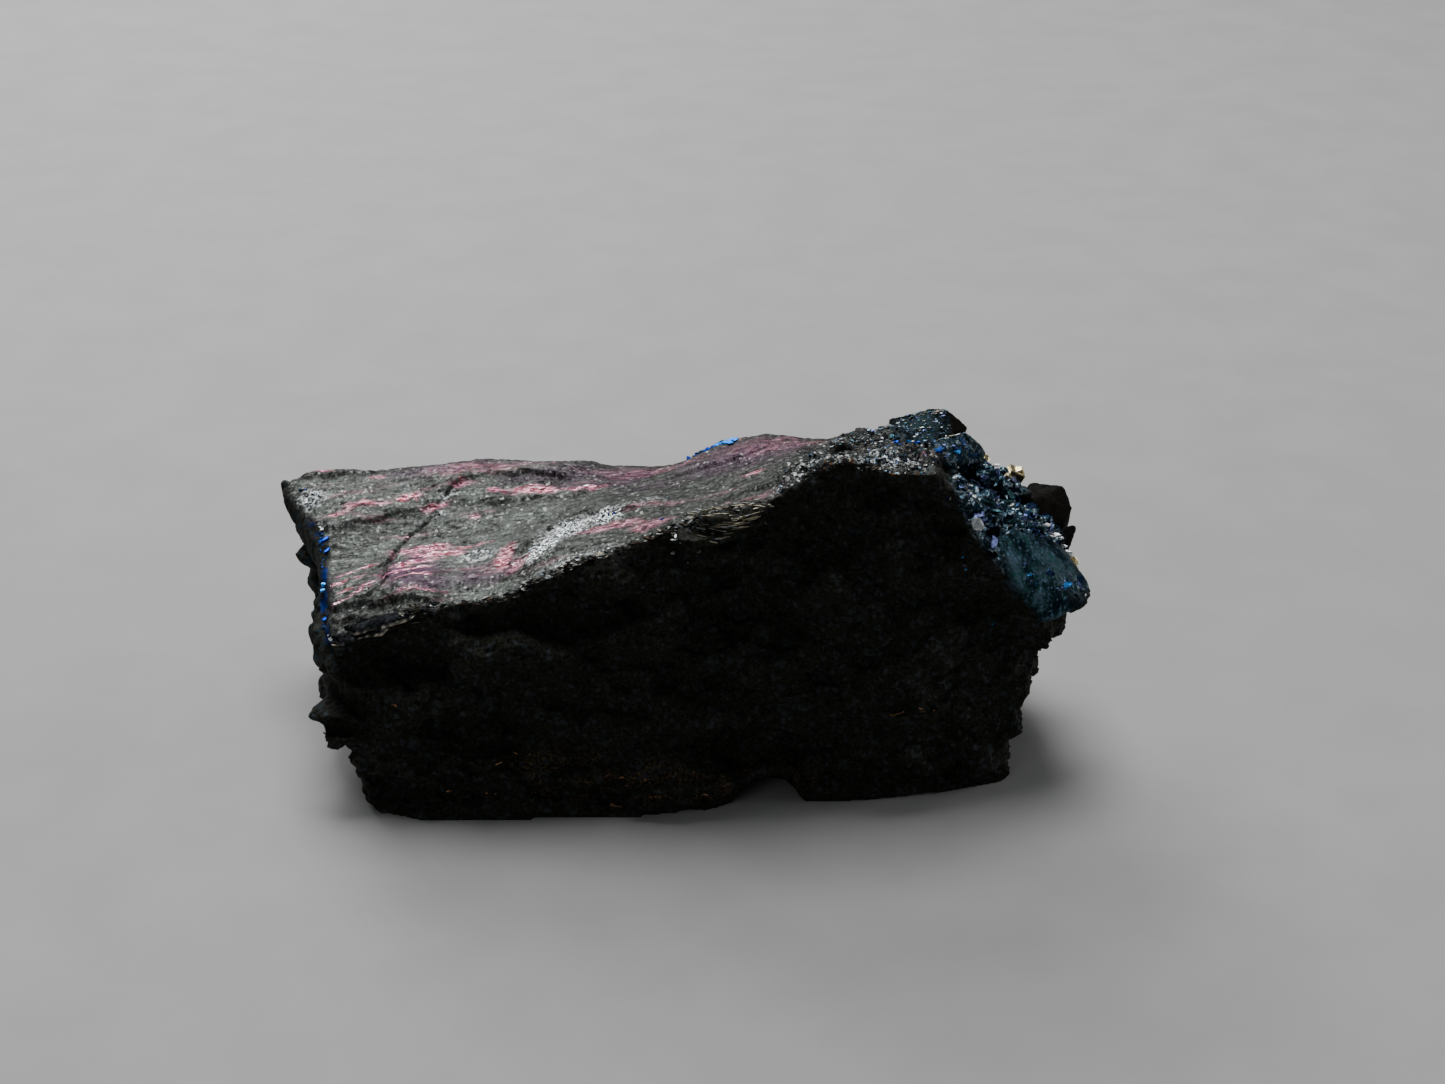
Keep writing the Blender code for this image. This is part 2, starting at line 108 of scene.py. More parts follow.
class Rail(Enum):
    """Lines along the slab, as corner points in drawing millimetres, left to right."""

    LIP = (
        (-12.3, -4.9, 6.5), (-9.6, -4.9, 7.6), (-6.4, -4.9, 8.3), (-4.6, -4.9, 9.2), (-1.5, -4.8, 10.4),
        (-0.2, -4.8, 10.9), (2.3, -4.7, 11.7), (3.3, -4.6, 12.7), (4.2, -4.5, 13.1), (7.5, -4.4, 12.7),
    )
    MIDDLE = (
        (-13.4, 0.0, 7.2), (-8.0, 0.0, 8.0), (-4.0, -0.6, 9.2), (-1.0, -0.6, 9.9), (2.5, -0.8, 11.3),
        (5.0, -1.4, 12.5), (8.3, -1.8, 12.2),
    )
    RIM = (
        (-15.5, 4.6, 7.8), (-14.3, 4.8, 8.4), (-9.2, 4.9, 8.5), (-5.0, 4.8, 8.45), (-1.8, 4.7, 8.55),
        (0.0, 4.2, 9.35), (2.3, 3.4, 10.3), (4.6, 2.8, 10.7), (6.6, 1.6, 11.75), (9.2, 1.0, 11.1),
    )

    def at(self, x: np.ndarray) -> tuple[np.ndarray, np.ndarray]:
        """The rail's Y and Z where the slab has these X."""
        knots = np.array(self.value)
        return np.interp(x, knots[:, 0], knots[:, 1]), np.interp(x, knots[:, 0], knots[:, 2])


class Film(Enum):
    """Colours of the thin films and bare metals that the specimen shows."""

    WHITE = (0.93, 0.96, 1.0)
    SILVER = (0.60, 0.64, 0.66)
    PINK = (1.0, 0.50, 0.60)
    STEEL = (0.16, 0.27, 0.37)
    LILAC = (0.15, 0.18, 0.40)
    SKY = (0.06, 0.36, 1.0)
    BLUE = (0.010, 0.07, 0.55)
    DEEP_BLUE = (0.014, 0.036, 0.10)
    TEAL = (0.038, 0.105, 0.120)
    BEIGE = (0.33, 0.30, 0.23)
    STRAW = (0.50, 0.45, 0.32)
    ASH = (0.27, 0.28, 0.26)
    GLOW = (0.025, 0.24, 0.85)
    UMBER = (0.034, 0.024, 0.015)
    BRONZE = (0.16, 0.09, 0.045)
    # RUST also stands for painted warm floor glow low on the front.
    RUST = (0.62, 0.33, 0.17)
    BLACK = (0.010, 0.011, 0.012)


@dataclass(frozen=True)
class Patch:
    """A stain on the cleavage surface, seen from above, in drawing millimetres.

    Attributes:
        at: The middle of the stain.
        half: Half its length along the slab and half its width across.
        slant: How far it drifts across for each millimetre along.
        strength: How strong the stain is in its middle.
    """

    at: tuple[float, float]
    half: tuple[float, float]
    slant: float
    strength: float

    def cover(self, where: np.ndarray) -> np.ndarray:
        """Works out how much the stain covers each point.

        Args:
            where: The points.

        Returns:
            A share for each point, from 0 to the stain's strength.
        """
        along = where[:, 0] - self.at[0]
        across = where[:, 1] - self.at[1] - self.slant * along
        away = np.hypot(along / self.half[0], across / self.half[1])
        return self.strength * (1 - smooth(0.35, 1.0, away))


@dataclass(frozen=True)
class TopLine:
    """A line on the cleavage surface, seen from above, in drawing millimetres.

    Attributes:
        corners: Its corner points, left to right.
    """

    corners: tuple[tuple[float, float], ...]

    def offset(self, where: np.ndarray) -> tuple[np.ndarray, np.ndarray]:
        """Measures each point against the line.

        Args:
            where: The points.

        Returns:
            Each point's distance, positive behind the line, and how far along the line it is, from 0 to 1.
        """
        best = np.full(len(where), 1e9)
        side = np.ones(len(where))
        share = np.zeros(len(where))
        count = len(self.corners) - 1
        for i, (start, end) in enumerate(zip(self.corners, self.corners[1:])):
            along = np.subtract(end, start)
            away = where[:, :2] - np.array(start)
            part = np.clip(away @ along / (along @ along), 0, 1)
            gap = np.linalg.norm(away - part[:, None] * along, axis=1)
            nearer = gap < best
            best[nearer] = gap[nearer]
            side[nearer] = np.where(along[0] * away[:, 1] - along[1] * away[:, 0] > 0, 1, -1)[nearer]
            share[nearer] = ((i + part) / count)[nearer]
        return best * side, share

    def ends(self, share: np.ndarray) -> np.ndarray:
        """Fades a value out towards the line's two ends."""
        return smooth(0.0, 0.12, share) * smooth(1.0, 0.88, share)


@dataclass(frozen=True)
class TornEdge(TopLine):
    """The broken edge of a sheet that lies on the cleavage surface.

    Attributes:
        rise: How far the sheet stands up behind its edge.
        fade: How far behind the edge it comes back down.
    """

    rise: float = 0.2
    fade: float = 1.2

    def lift(self, where: np.ndarray) -> np.ndarray:
        """How far the sheet raises each point."""
        gap, share = self.offset(where)
        return self.rise * smooth(-0.05, 0.05, gap) * smooth(self.fade, 0.1, gap) * self.ends(share)

    def shade(self, where: np.ndarray) -> np.ndarray:
        """Draws the painted shadow: a dark line at the foot of the edge.

        Args:
            where: The points.

        Returns:
            How dark the line is at each point, from 0 to 1.
        """
        gap, share = self.offset(where)
        depth = min(1.0, self.rise / 0.2)
        return depth * smooth(-0.16, -0.04, gap) * smooth(0.07, -0.02, gap) * self.ends(share)


@dataclass(frozen=True)
class Crack(TopLine):
    """A narrow crack across the cleavage surface.

    Attributes:
        depth: How deep it shows.
        width: Half its width.
    """

    depth: float = 0.16
    width: float = 0.10

    def shade(self, where: np.ndarray) -> np.ndarray:
        """How deep the crack is at each point, and how dark its painted shade, from 0 to 1."""
        gap, share = self.offset(where)
        return smooth(self.width, 0.3 * self.width, np.abs(gap)) * smooth(0.0, 0.1, share)


@dataclass(frozen=True)
class Nudge:
    """A soft push that brings the skin's outline closer to the specimen's.

    Attributes:
        at: The middle of the push.
        reach: How far it reaches along, across and up.
        shift: The push in its middle.
    """

    at: Point
    reach: Point
    shift: Point

    def moves(self, where: np.ndarray) -> np.ndarray:
        """How far each point is pushed."""
        away = np.linalg.norm((where - np.array(self.at)) / np.array(self.reach), axis=1)
        return smooth(1.0, 0.0, away)[:, None] * np.array(self.shift)


@dataclass(frozen=True)
class CrystalFace:
    """One flat face of the larger crystals at the right end, in drawing millimetres.

    Attributes:
        corners: Its corner points, in order around it.
        reach: How far from its plane the skin still belongs to it.
    """

    corners: tuple[Point, ...]
    reach: float = 0.30

    def cover(self, where: np.ndarray) -> np.ndarray:
        """Works out how much each point belongs to the face.

        Args:
            where: The points.

        Returns:
            A share for each point, from 0 to 1.
        """
        ring = np.array(self.corners)
        middle = ring.mean(axis=0)
        facing = np.cross(ring - middle, np.roll(ring, -1, axis=0) - middle).sum(axis=0)
        facing /= np.linalg.norm(facing)
        inside = np.full(len(where), 9.0)
        for start, end in zip(ring, np.roll(ring, -1, axis=0)):
            inward = np.cross(facing, end - start)
            inside = np.minimum(inside, (where - start) @ (inward / np.linalg.norm(inward)))
        flat = smooth(self.reach, 0.5 * self.reach, np.abs((where - middle) @ facing))
        return flat * smooth(-0.10, 0.06, inside)


# Lines on the cleavage surface that the photograph shows, each also drawn as a painted shadow line, and the
# skin's left edge as Y and X.
TORN_EDGES = (
    TornEdge((
        (-10.3, 1.75), (-9.6, 1.9), (-9.1, 2.3), (-8.4, 2.9),
        (-7.6, 3.2), (-6.4, 3.0), (-5.0, 2.5), (-3.9, 2.6),
    ), 0.13, 0.9),
    TornEdge(((-7.9, 1.75), (-6.9, 1.6), (-5.6, 1.45), (-4.6, 1.1), (-3.8, 1.2)), 0.10, 0.9),
    TornEdge(((-9.3, 3.0), (-8.9, 2.6), (-8.2, 2.9)), 0.10, 0.5),
    TornEdge(((-13.6, 1.35), (-12.9, 1.15), (-12.0, 1.35), (-11.2, 1.6), (-10.0, 1.7)), 0.13, 0.8),
    TornEdge(((-6.3, -3.2), (-6.1, -2.3), (-5.4, -1.7), (-4.2, -1.5), (-3.0, -1.6), (-2.0, -2.1)), 0.09),
    TornEdge(((-2.4, 0.7), (-0.6, 1.0), (1.2, 0.8), (2.6, 1.3)), 0.07),
    TornEdge(((-12.9, -3.45), (-12.0, -3.5), (-10.9, -3.8), (-9.6, -4.3), (-8.6, -4.8)), 0.16, 0.9),
    TornEdge(((-12.8, -4.0), (-11.6, -4.15), (-10.6, -4.5)), 0.09, 0.5),
    TornEdge(((-9.9, -1.0), (-8.6, -0.6), (-7.2, -0.75), (-6.4, -0.6)), 0.07, 0.9),
    TornEdge(((0.4, -3.6), (1.6, -3.0), (2.6, -3.3), (3.6, -2.7), (4.6, -2.9)), 0.12, 0.9),
    TornEdge(((-14.6, 4.1), (-13.2, 4.3), (-11.8, 4.2)), 0.12, 0.7),
)
CRACKS = (
    Crack(((-9.6, 1.55), (-10.05, 0.9), (-10.4, 0.25), (-10.7, -0.7), (-10.9, -1.3)), 0.16, 0.14),
    Crack(((-10.9, -1.2), (-10.75, -2.0), (-10.75, -2.9), (-11.2, -3.4), (-11.9, -3.9)), 0.12, 0.08),
    Crack(((-10.9, -1.2), (-11.3, -1.7)), 0.08, 0.07),
    Crack(((-1.4, -4.3), (-0.8, -3.9), (-0.2, -4.1), (0.4, -3.6)), 0.12, 0.09),
)
END_EDGE = (
    (-5.2, -12.40), (-4.9, -12.45), (-3.4, -12.70), (-1.7, -13.00), (-0.1, -13.10), (0.8, -13.35),
    (1.7, -13.85), (2.4, -14.40), (3.3, -14.80), (5.0, -15.10),
)
NUDGES = (
    Nudge((-14.3, -0.6, 3.95), (1.9, 3.8, 1.6), (0.90, 0.0, 0.0)),
    Nudge((-14.2, 0.6, 6.0), (1.6, 2.8, 1.5), (-0.10, 0.0, 0.0)),
    Nudge((-14.9, 3.2, 5.5), (1.1, 1.9, 0.9), (0.24, 0.0, 0.0)),
    Nudge((-12.9, -4.7, 3.45), (1.2, 1.3, 0.5), (-0.60, -0.1, 0.0)),
    Nudge((-14.9, 4.2, 7.9), (2.2, 2.4, 1.5), (-0.26, 0.0, 0.12)),
    Nudge((-11.6, 4.8, 8.4), (3.0, 1.6, 1.0), (0.0, 0.0, 0.10)),
    Nudge((-2.6, 4.6, 8.6), (2.4, 1.6, 1.0), (0.0, 0.0, 0.14)),
    Nudge((1.2, 3.8, 9.8), (3.2, 1.8, 1.4), (0.0, 0.1, 0.20)),
    Nudge((5.0, 2.4, 10.9), (2.6, 1.8, 1.4), (0.0, 0.0, 0.22)),
    Nudge((9.3, -0.4, 11.5), (1.0, 1.3, 0.8), (0.26, 0.0, 0.0)),
)

# The larger flat crystals of the right end, and the dark block behind the tip flake.
TIP_FLAKE = CrystalFace((
    (9.9, -3.5, 9.6), (11.0, -2.4, 9.4), (12.5, -0.9, 8.0), (13.1, -1.2, 7.3), (13.6, -2.0, 6.8),
    (12.2, -3.2, 6.4), (11.7, -3.5, 6.4), (10.6, -4.0, 8.2),
), 0.45)
PEAK_FACE = CrystalFace((
    (6.6, 0.9, 12.0), (8.0, 0.7, 12.5), (8.5, 0.5, 12.55),
    (8.6, -0.3, 11.9), (8.0, -0.7, 11.8), (6.6, -0.6, 11.8),
), 0.34)
PEAK_END = CrystalFace(((8.4, 0.6, 12.6), (9.3, 0.4, 11.95), (8.6, -0.4, 11.85), (8.45, 0.0, 12.2)), 0.34)
KNOB_FACE = CrystalFace((
    (7.9, -1.2, 12.1), (9.1, -0.6, 12.2), (9.5, -0.4, 11.4),
    (9.6, -0.6, 11.1), (8.5, -1.9, 11.5), (8.0, -2.0, 11.8),
), 0.34)
FIN_MIDDLE = (12.5, 2.0, 7.7)
FIN_HALF = (1.15, 1.5, 1.4)

# The stains of the cleavage surface; the silvery patches are partly painted highlight on the bosses, and the
# dark patches partly painted shade.
ROSE_PATCHES = (
    Patch((-9.8, -0.72), (1.35, 0.46), -0.14, 1.0),
    Patch((-9.2, -1.25), (1.4, 0.34), -0.1, 1.0),
    Patch((-9.9, -1.75), (1.2, 0.22), 0.05, 1.0),
    Patch((-8.0, -0.95), (0.9, 0.16), 0.0, 0.8),
    Patch((-12.2, -1.42), (0.75, 0.13), 0.10, 1.0),
    Patch((-11.5, -1.25), (0.5, 0.12), 0.10, 1.0),
    Patch((-12.55, -1.95), (0.7, 0.14), 0.10, 1.0),
    Patch((-11.8, -2.0), (0.5, 0.09), 0.10, 0.7),
    Patch((-11.4, -2.75), (0.5, 0.11), 0.10, 1.0),
    Patch((-12.1, -2.65), (0.45, 0.10), 0.10, 0.9),
    Patch((-12.3, -3.25), (0.6, 0.15), 0.10, 1.0),
    Patch((-11.6, -3.05), (0.5, 0.11), 0.10, 0.9),
    Patch((-10.1, -2.25), (1.3, 0.15), 0.05, 0.9),
    Patch((-9.7, -2.95), (1.2, 0.20), 0.05, 0.75),
    Patch((-9.3, -3.9), (1.2, 0.14), 0.0, 0.5),
    Patch((-13.1, 1.95), (0.25, 0.18), 0.0, 1.0),
    Patch((-12.0, 2.2), (1.3, 0.24), 0.04, 0.6),
    Patch((-10.5, 2.35), (0.55, 0.28), 0.0, 1.0),
    Patch((-9.5, 1.8), (0.9, 0.20), 0.0, 1.0),
    Patch((-11.8, 4.0), (0.35, 0.22), 0.0, 0.9),
    Patch((-14.0, 4.5), (0.6, 0.2), 0.0, 0.8),
    Patch((-8.7, 2.6), (0.5, 0.22), 0.0, 0.6),
    Patch((-7.2, 2.2), (0.5, 0.22), 0.0, 0.9),
    Patch((-5.9, 1.95), (1.3, 0.34), -0.10, 1.0),
    Patch((-4.1, 1.6), (0.9, 0.26), -0.05, 1.0),
    Patch((-8.1, 1.0), (0.25, 0.20), 0.0, 0.7),
    Patch((-7.6, 3.6), (3.4, 0.7), 0.0, 0.22),
    Patch((-6.7, -2.3), (0.45, 0.9), 0.5, 0.75),
    Patch((-6.1, -3.2), (0.6, 0.7), 0.3, 0.5),
    Patch((-3.0, -2.9), (1.7, 0.5), -0.2, 0.45),
    Patch((-1.6, -3.6), (0.9, 0.4), -0.1, 0.4),
    Patch((1.9, -1.5), (0.6, 0.24), 0.1, 1.0),
    Patch((2.1, 1.6), (2.6, 1.4), -0.3, 0.12),
    Patch((3.0, 2.3), (0.7, 0.4), 0.0, 0.35),
    Patch((-1.5, 2.6), (3.0, 1.0), -0.1, 0.15),
)
VIOLET_PATCHES = (
    Patch((-9.9, -2.4), (1.6, 1.0), -0.1, 0.95),
    Patch((-9.5, -3.4), (1.6, 0.6), -0.1, 0.7),
    Patch((-10.2, -1.6), (0.7, 0.3), 0.0, 1.0),
    Patch((0.5, 1.2), (0.9, 0.9), -0.2, 0.55),
    Patch((1.6, 1.0), (3.4, 2.6), -0.3, 0.55),
    Patch((-3.0, 2.4), (3.4, 1.5), -0.1, 0.50),
    Patch((-7.2, -3.2), (1.6, 1.0), 0.0, 0.45),
    Patch((-1.5, 0.3), (2.4, 0.8), 0.0, 0.3),
    Patch((-8.8, 3.9), (4.4, 0.9), 0.0, 0.45),
    Patch((-5.8, 2.7), (2.0, 0.5), -0.1, 0.45),
)
# Silvery grain, with painted highlight on the bosses and on a small facet at the left.
SILVER_AND_HIGHLIGHT_PATCHES = (
    Patch((-5.3, -2.8), (0.80, 1.25), 0.3, 1.0),
    Patch((-4.5, -2.1), (0.95, 0.85), 0.1, 1.0),
    Patch((-3.2, -1.95), (0.75, 0.7), 0.0, 0.9),
    Patch((-14.2, 2.9), (0.8, 0.7), 0.0, 0.7),
    Patch((-7.7, -1.8), (0.8, 0.6), 0.0, 0.6),
    Patch((-9.3, 1.35), (0.35, 0.2), 0.0, 0.8),
    Patch((-9.0, 2.15), (0.5, 0.2), 0.0, 0.6),
    Patch((-1.9, -1.6), (1.4, 0.4), -0.1, 0.15),
    Patch((-4.0, -4.35), (2.0, 0.35), 0.0, 0.2),
    Patch((4.4, -3.2), (1.8, 0.9), 0.3, 0.6),
    Patch((6.2, -3.0), (1.4, 0.8), 0.0, 0.6),
)
# Dark patches: partly dark stains, partly painted shade.
DULL_AND_SHADE_PATCHES = (
    Patch((-11.0, -4.4), (2.3, 0.75), -0.25, 0.5),
    Patch((-13.4, 4.5), (1.6, 0.45), 0.0, 0.8),
    Patch((-6.3, -3.9), (1.3, 0.5), 0.0, 0.7),
    Patch((-7.4, 0.1), (0.9, 0.5), 0.0, 0.4),
    Patch((-9.5, 0.3), (0.8, 0.4), 0.0, 0.5),
    Patch((3.2, -2.2), (1.5, 0.5), 0.3, 0.8),
    Patch((-0.8, 3.6), (2.6, 0.5), 0.1, 0.5),
    Patch((5.5, -0.3), (1.6, 0.9), 0.0, 0.5),
    Patch((-4.1, -1.15), (0.55, 0.30), 0.2, 1.0),
    Patch((-0.6, -2.2), (0.7, 0.3), 0.0, 0.8),
)


@dataclass(frozen=True)
class Board:
    """A short way to draw a node tree.

    Attributes:
        tree: The tree of a material or of a node group.
    """

    tree: bpy.types.NodeTree

    def add(self, kind: str, settings: dict[str, object] | None = None, **inputs: object) -> bpy.types.Node:
        """Adds a node and fills its inputs.

        Args:
            kind: The node's type name.
            settings: Values for the node's own fields.
            **inputs: A value or an output socket for each input, named with underscores for spaces.
                A name such as in_0 fills an input by its place.

        Returns:
            The new node.
        """
        node = self.tree.nodes.new(kind)
        for name, value in (settings or {}).items():
            setattr(node, name, value)
        for name, value in inputs.items():
            by_place = name.startswith("in_")
            socket = node.inputs[int(name[3:]) if by_place else name.replace("_", " ")]
            if isinstance(value, bpy.types.NodeSocket):
                self.tree.links.new(value, socket)
            else:
                socket.default_value = value
        return node

    def maths(self, job: str, first: object, second: object) -> bpy.types.NodeSocket:
        """One step of arithmetic on two values."""
        return self.add("ShaderNodeMath", {"operation": job}, in_0=first, in_1=second).outputs[0]

    def spread(
        self, value: object, low: float, high: float, to_low: float = 0.0, to_high: float = 1.0
    ) -> bpy.types.NodeSocket:
        """Maps a value from one range to another, smoothly and clamped.

        Args:
            value: The value's socket.
            low: Where the range starts.
            high: Where the range ends.
            to_low: The result at the start.
            to_high: The result at the end.

        Returns:
            The result's socket.
        """
        node = self.add(
            "ShaderNodeMapRange", {"interpolation_type": "SMOOTHSTEP"},
            Value=value, From_Min=low, From_Max=high, To_Min=to_low, To_Max=to_high,
        )
        return node.outputs["Result"]

    def blend(self, share: object, first: object, second: object) -> bpy.types.NodeSocket:
        """Mixes two colours by a share.

        Args:
            share: How much of the second colour shows.
            first: A colour or its socket.
            second: A colour or its socket.

        Returns:
            The mixed colour's socket.
        """
        node = self.add("ShaderNodeMix", {"data_type": "RGBA", "clamp_factor": True})
        for socket, value in ((node.inputs[0], share), (node.inputs[6], first), (node.inputs[7], second)):
            if isinstance(value, bpy.types.NodeSocket):
                self.tree.links.new(value, socket)
            elif isinstance(value, tuple):
                socket.default_value = (*value[:3], 1.0)
            else:
                socket.default_value = value
        return node.outputs[2]

    def mix_vector(self, share: object, first: object, second: object) -> bpy.types.NodeSocket:
        """Mixes two directions by a share.

        Args:
            share: How much of the second direction shows.
            first: The first direction's socket.
            second: The second direction's socket.

        Returns:
            The mixed direction's socket.
        """
        node = self.add("ShaderNodeMix", {"data_type": "VECTOR"})
        for socket, value in ((node.inputs[0], share), (node.inputs[4], first), (node.inputs[5], second)):
            self.tree.links.new(value, socket)
        return node.outputs[1]

    def normal(self) -> bpy.types.NodeSocket:
        """The way the surface faces."""
        return self.add("ShaderNodeNewGeometry").outputs["Normal"]

    def mask(self, name: str) -> bpy.types.NodeSocket:
        """A mask that the mesh carries at its points."""
        return self.add("ShaderNodeAttribute", {"attribute_name": name}).outputs["Fac"]

    def film(self, name: str) -> bpy.types.NodeSocket:
        """A colour that the mesh carries at its points."""
        return self.add("ShaderNodeAttribute", {"attribute_name": name}).outputs["Color"]

    def place(self) -> bpy.types.NodeSocket:
        """Finds where the surface is, in millimetres of the object.

        Returns:
            The place's socket.
        """
        where = self.add("ShaderNodeTexCoord").outputs["Object"]
        scaled = self.add("ShaderNodeVectorMath", {"operation": "SCALE"}, in_0=where)
        scaled.inputs["Scale"].default_value = 1 / MM
        return scaled.outputs[0]

    def stretched(self, where: bpy.types.NodeSocket, pitch: Point) -> bpy.types.NodeSocket:
        """Coordinates in which one unit is the given pitch in millimetres."""
        scale = tuple(1 / size for size in pitch)
        return self.add("ShaderNodeVectorMath", {"operation": "MULTIPLY"}, in_0=where, in_1=scale).outputs[0]


@dataclass(frozen=True)
class ShaderPart:
    """A node group that several finishes use.

    Attributes:
        name: The group's name.
        inputs: Its value inputs and their usual values. Each group also takes Place.
        outputs: Its outputs, each with its socket type.
    """

    name: str
    inputs: dict[str, float]
    outputs: dict[str, str]

    def begin(self) -> tuple[Board, bpy.types.Node, bpy.types.Node]:
        """Makes the empty group.

        Returns:
            Its board, its input node and its output node.
        """
        tree = bpy.data.node_groups.new(self.name, "ShaderNodeTree")
        tree.interface.new_socket("Place", in_out="INPUT", socket_type="NodeSocketVector")
        for name, usual in self.inputs.items():
            socket = tree.interface.new_socket(name, in_out="INPUT", socket_type="NodeSocketFloat")
            socket.default_value = usual
        for name, kind in self.outputs.items():
            tree.interface.new_socket(name, in_out="OUTPUT", socket_type=kind)
        board = Board(tree)
        return board, board.add("NodeGroupInput"), board.add("NodeGroupOutput")


def silk_lines() -> bpy.types.NodeTree:
    """Draws fine lines along the slab, as on a silky cleavage surface.

    Returns:
        The node group.
    """
    outputs = {name: "NodeSocketFloat" for name in ("Lines", "Breaks", "Dashes")}
    board, given, out = ShaderPart("silk lines", {"Pitch": 0.16}, outputs).begin()
    place = given.outputs["Place"]
    broad = board.stretched(place, (2.6, 2.6, 2.6))
    wander = board.add("ShaderNodeTexNoise", in_0=broad, Scale=1.0, Detail=2.0)
    drift = board.add("ShaderNodeVectorMath", {"operation": "SCALE"}, in_0=wander.outputs["Color"])
    drift.inputs["Scale"].default_value = 0.8
    summed = board.add("ShaderNodeVectorMath", {"operation": "ADD"}, in_0=place, in_1=drift.outputs[0])
    bent = summed.outputs[0]
    pressed = board.add("ShaderNodeVectorMath", {"operation": "MULTIPLY"}, in_0=bent, in_1=(0.16, 1.0, 0.45))
    flat = pressed.outputs[0]
    scale = board.maths("DIVIDE", 1.0, given.outputs["Pitch"])
    lines = board.add("ShaderNodeTexNoise", in_0=flat, Scale=scale, Detail=4.0, Roughness=0.62)
    short = board.stretched(bent, (1.5, 0.45, 0.6))
    breaks = board.add("ShaderNodeTexNoise", in_0=short, Scale=1.0, Detail=3.0)
    slanted = board.add(
        "ShaderNodeMapping", Vector=place, Rotation=(0.0, 0.0, math.radians(-9)), Scale=(2.3, 10.0, 5.0)
    )
    dashes = board.add("ShaderNodeTexNoise", in_0=slanted.outputs[0], Scale=1.0, Detail=2.0, Roughness=0.6)
    board.tree.links.new(lines.outputs["Fac"], out.inputs["Lines"])
    board.tree.links.new(breaks.outputs["Fac"], out.inputs["Breaks"])
    board.tree.links.new(dashes.outputs["Fac"], out.inputs["Dashes"])
    return board.tree


def glitter() -> bpy.types.NodeTree:
    """Draws tiny flat facets that each lean their own way and catch the light one by one.

    Returns:
        The node group.
    """
    part = ShaderPart(
        "glitter", {"Size": 0.2, "Lean": 0.5}, {"Normal": "NodeSocketVector", "Chance": "NodeSocketFloat"}
    )
    board, given, out = part.begin()
    scale = board.maths("DIVIDE", 1.0, given.outputs["Size"])
    cells = board.add("ShaderNodeTexVoronoi", {"feature": "F1"}, Vector=given.outputs["Place"], Scale=scale)
    cells.inputs["Randomness"].default_value = 1.0
    centred = board.add(
        "ShaderNodeVectorMath", {"operation": "SUBTRACT"}, in_0=cells.outputs["Color"], in_1=(0.5, 0.5, 0.5)
    ).outputs[0]
    leaning = board.add("ShaderNodeVectorMath", {"operation": "SCALE"}, in_0=centred)
    board.tree.links.new(given.outputs["Lean"], leaning.inputs["Scale"])
    summed = board.add(
        "ShaderNodeVectorMath", {"operation": "ADD"}, in_0=board.normal(), in_1=leaning.outputs[0]
    ).outputs[0]
    unit = board.add("ShaderNodeVectorMath", {"operation": "NORMALIZE"}, in_0=summed).outputs[0]
    parts = board.add("ShaderNodeSeparateColor", Color=cells.outputs["Color"])
    board.tree.links.new(unit, out.inputs["Normal"])
    board.tree.links.new(parts.outputs["Green"], out.inputs["Chance"])
    return board.tree


def mottle() -> bpy.types.NodeTree:
    """Draws uneven dullness and grain: one slow and one fine pattern.

    Returns:
        The node group.
    """
    part = ShaderPart("mottle", {"Pitch": 1.0}, {"Slow": "NodeSocketFloat", "Grain": "NodeSocketFloat"})
    board, given, out = part.begin()
    scale = board.maths("DIVIDE", 1.0, given.outputs["Pitch"])
    place = given.outputs["Place"]
    slow = board.add("ShaderNodeTexNoise", in_0=place, Scale=scale, Detail=3.0)
    fine_scale = board.maths("MULTIPLY", scale, 9.0)
    fine = board.add("ShaderNodeTexNoise", in_0=place, Scale=fine_scale, Detail=4.0, Roughness=0.7)
    board.tree.links.new(slow.outputs["Fac"], out.inputs["Slow"])
    board.tree.links.new(fine.outputs["Fac"], out.inputs["Grain"])
    return board.tree


@dataclass
class EffectShelf:
    """The shader groups, built once and placed in each finish.

    Attributes:
        silk: Fine lines of the cleavage surface.
        sparkle: Tiny leaning facets.
        uneven: Dull and bright patches with grain.
    """

    silk: bpy.types.NodeTree = field(default_factory=silk_lines)
    sparkle: bpy.types.NodeTree = field(default_factory=glitter)
    uneven: bpy.types.NodeTree = field(default_factory=mottle)

    @staticmethod
    def put(board: Board, group: bpy.types.NodeTree, **inputs: object) -> bpy.types.Node:
        """Places one group on a board."""
        return board.add("ShaderNodeGroup", {"node_tree": group}, **inputs)


def new_finish(name: str) -> tuple[bpy.types.Material, Board, bpy.types.Node]:
    """Makes an empty material.

    Args:
        name: The material's name.

    Returns:
        The material, its board and its Principled shader.
    """
    material = bpy.data.materials.new(name)
    material.use_nodes = True
    return material, Board(material.node_tree), material.node_tree.nodes["Principled BSDF"]


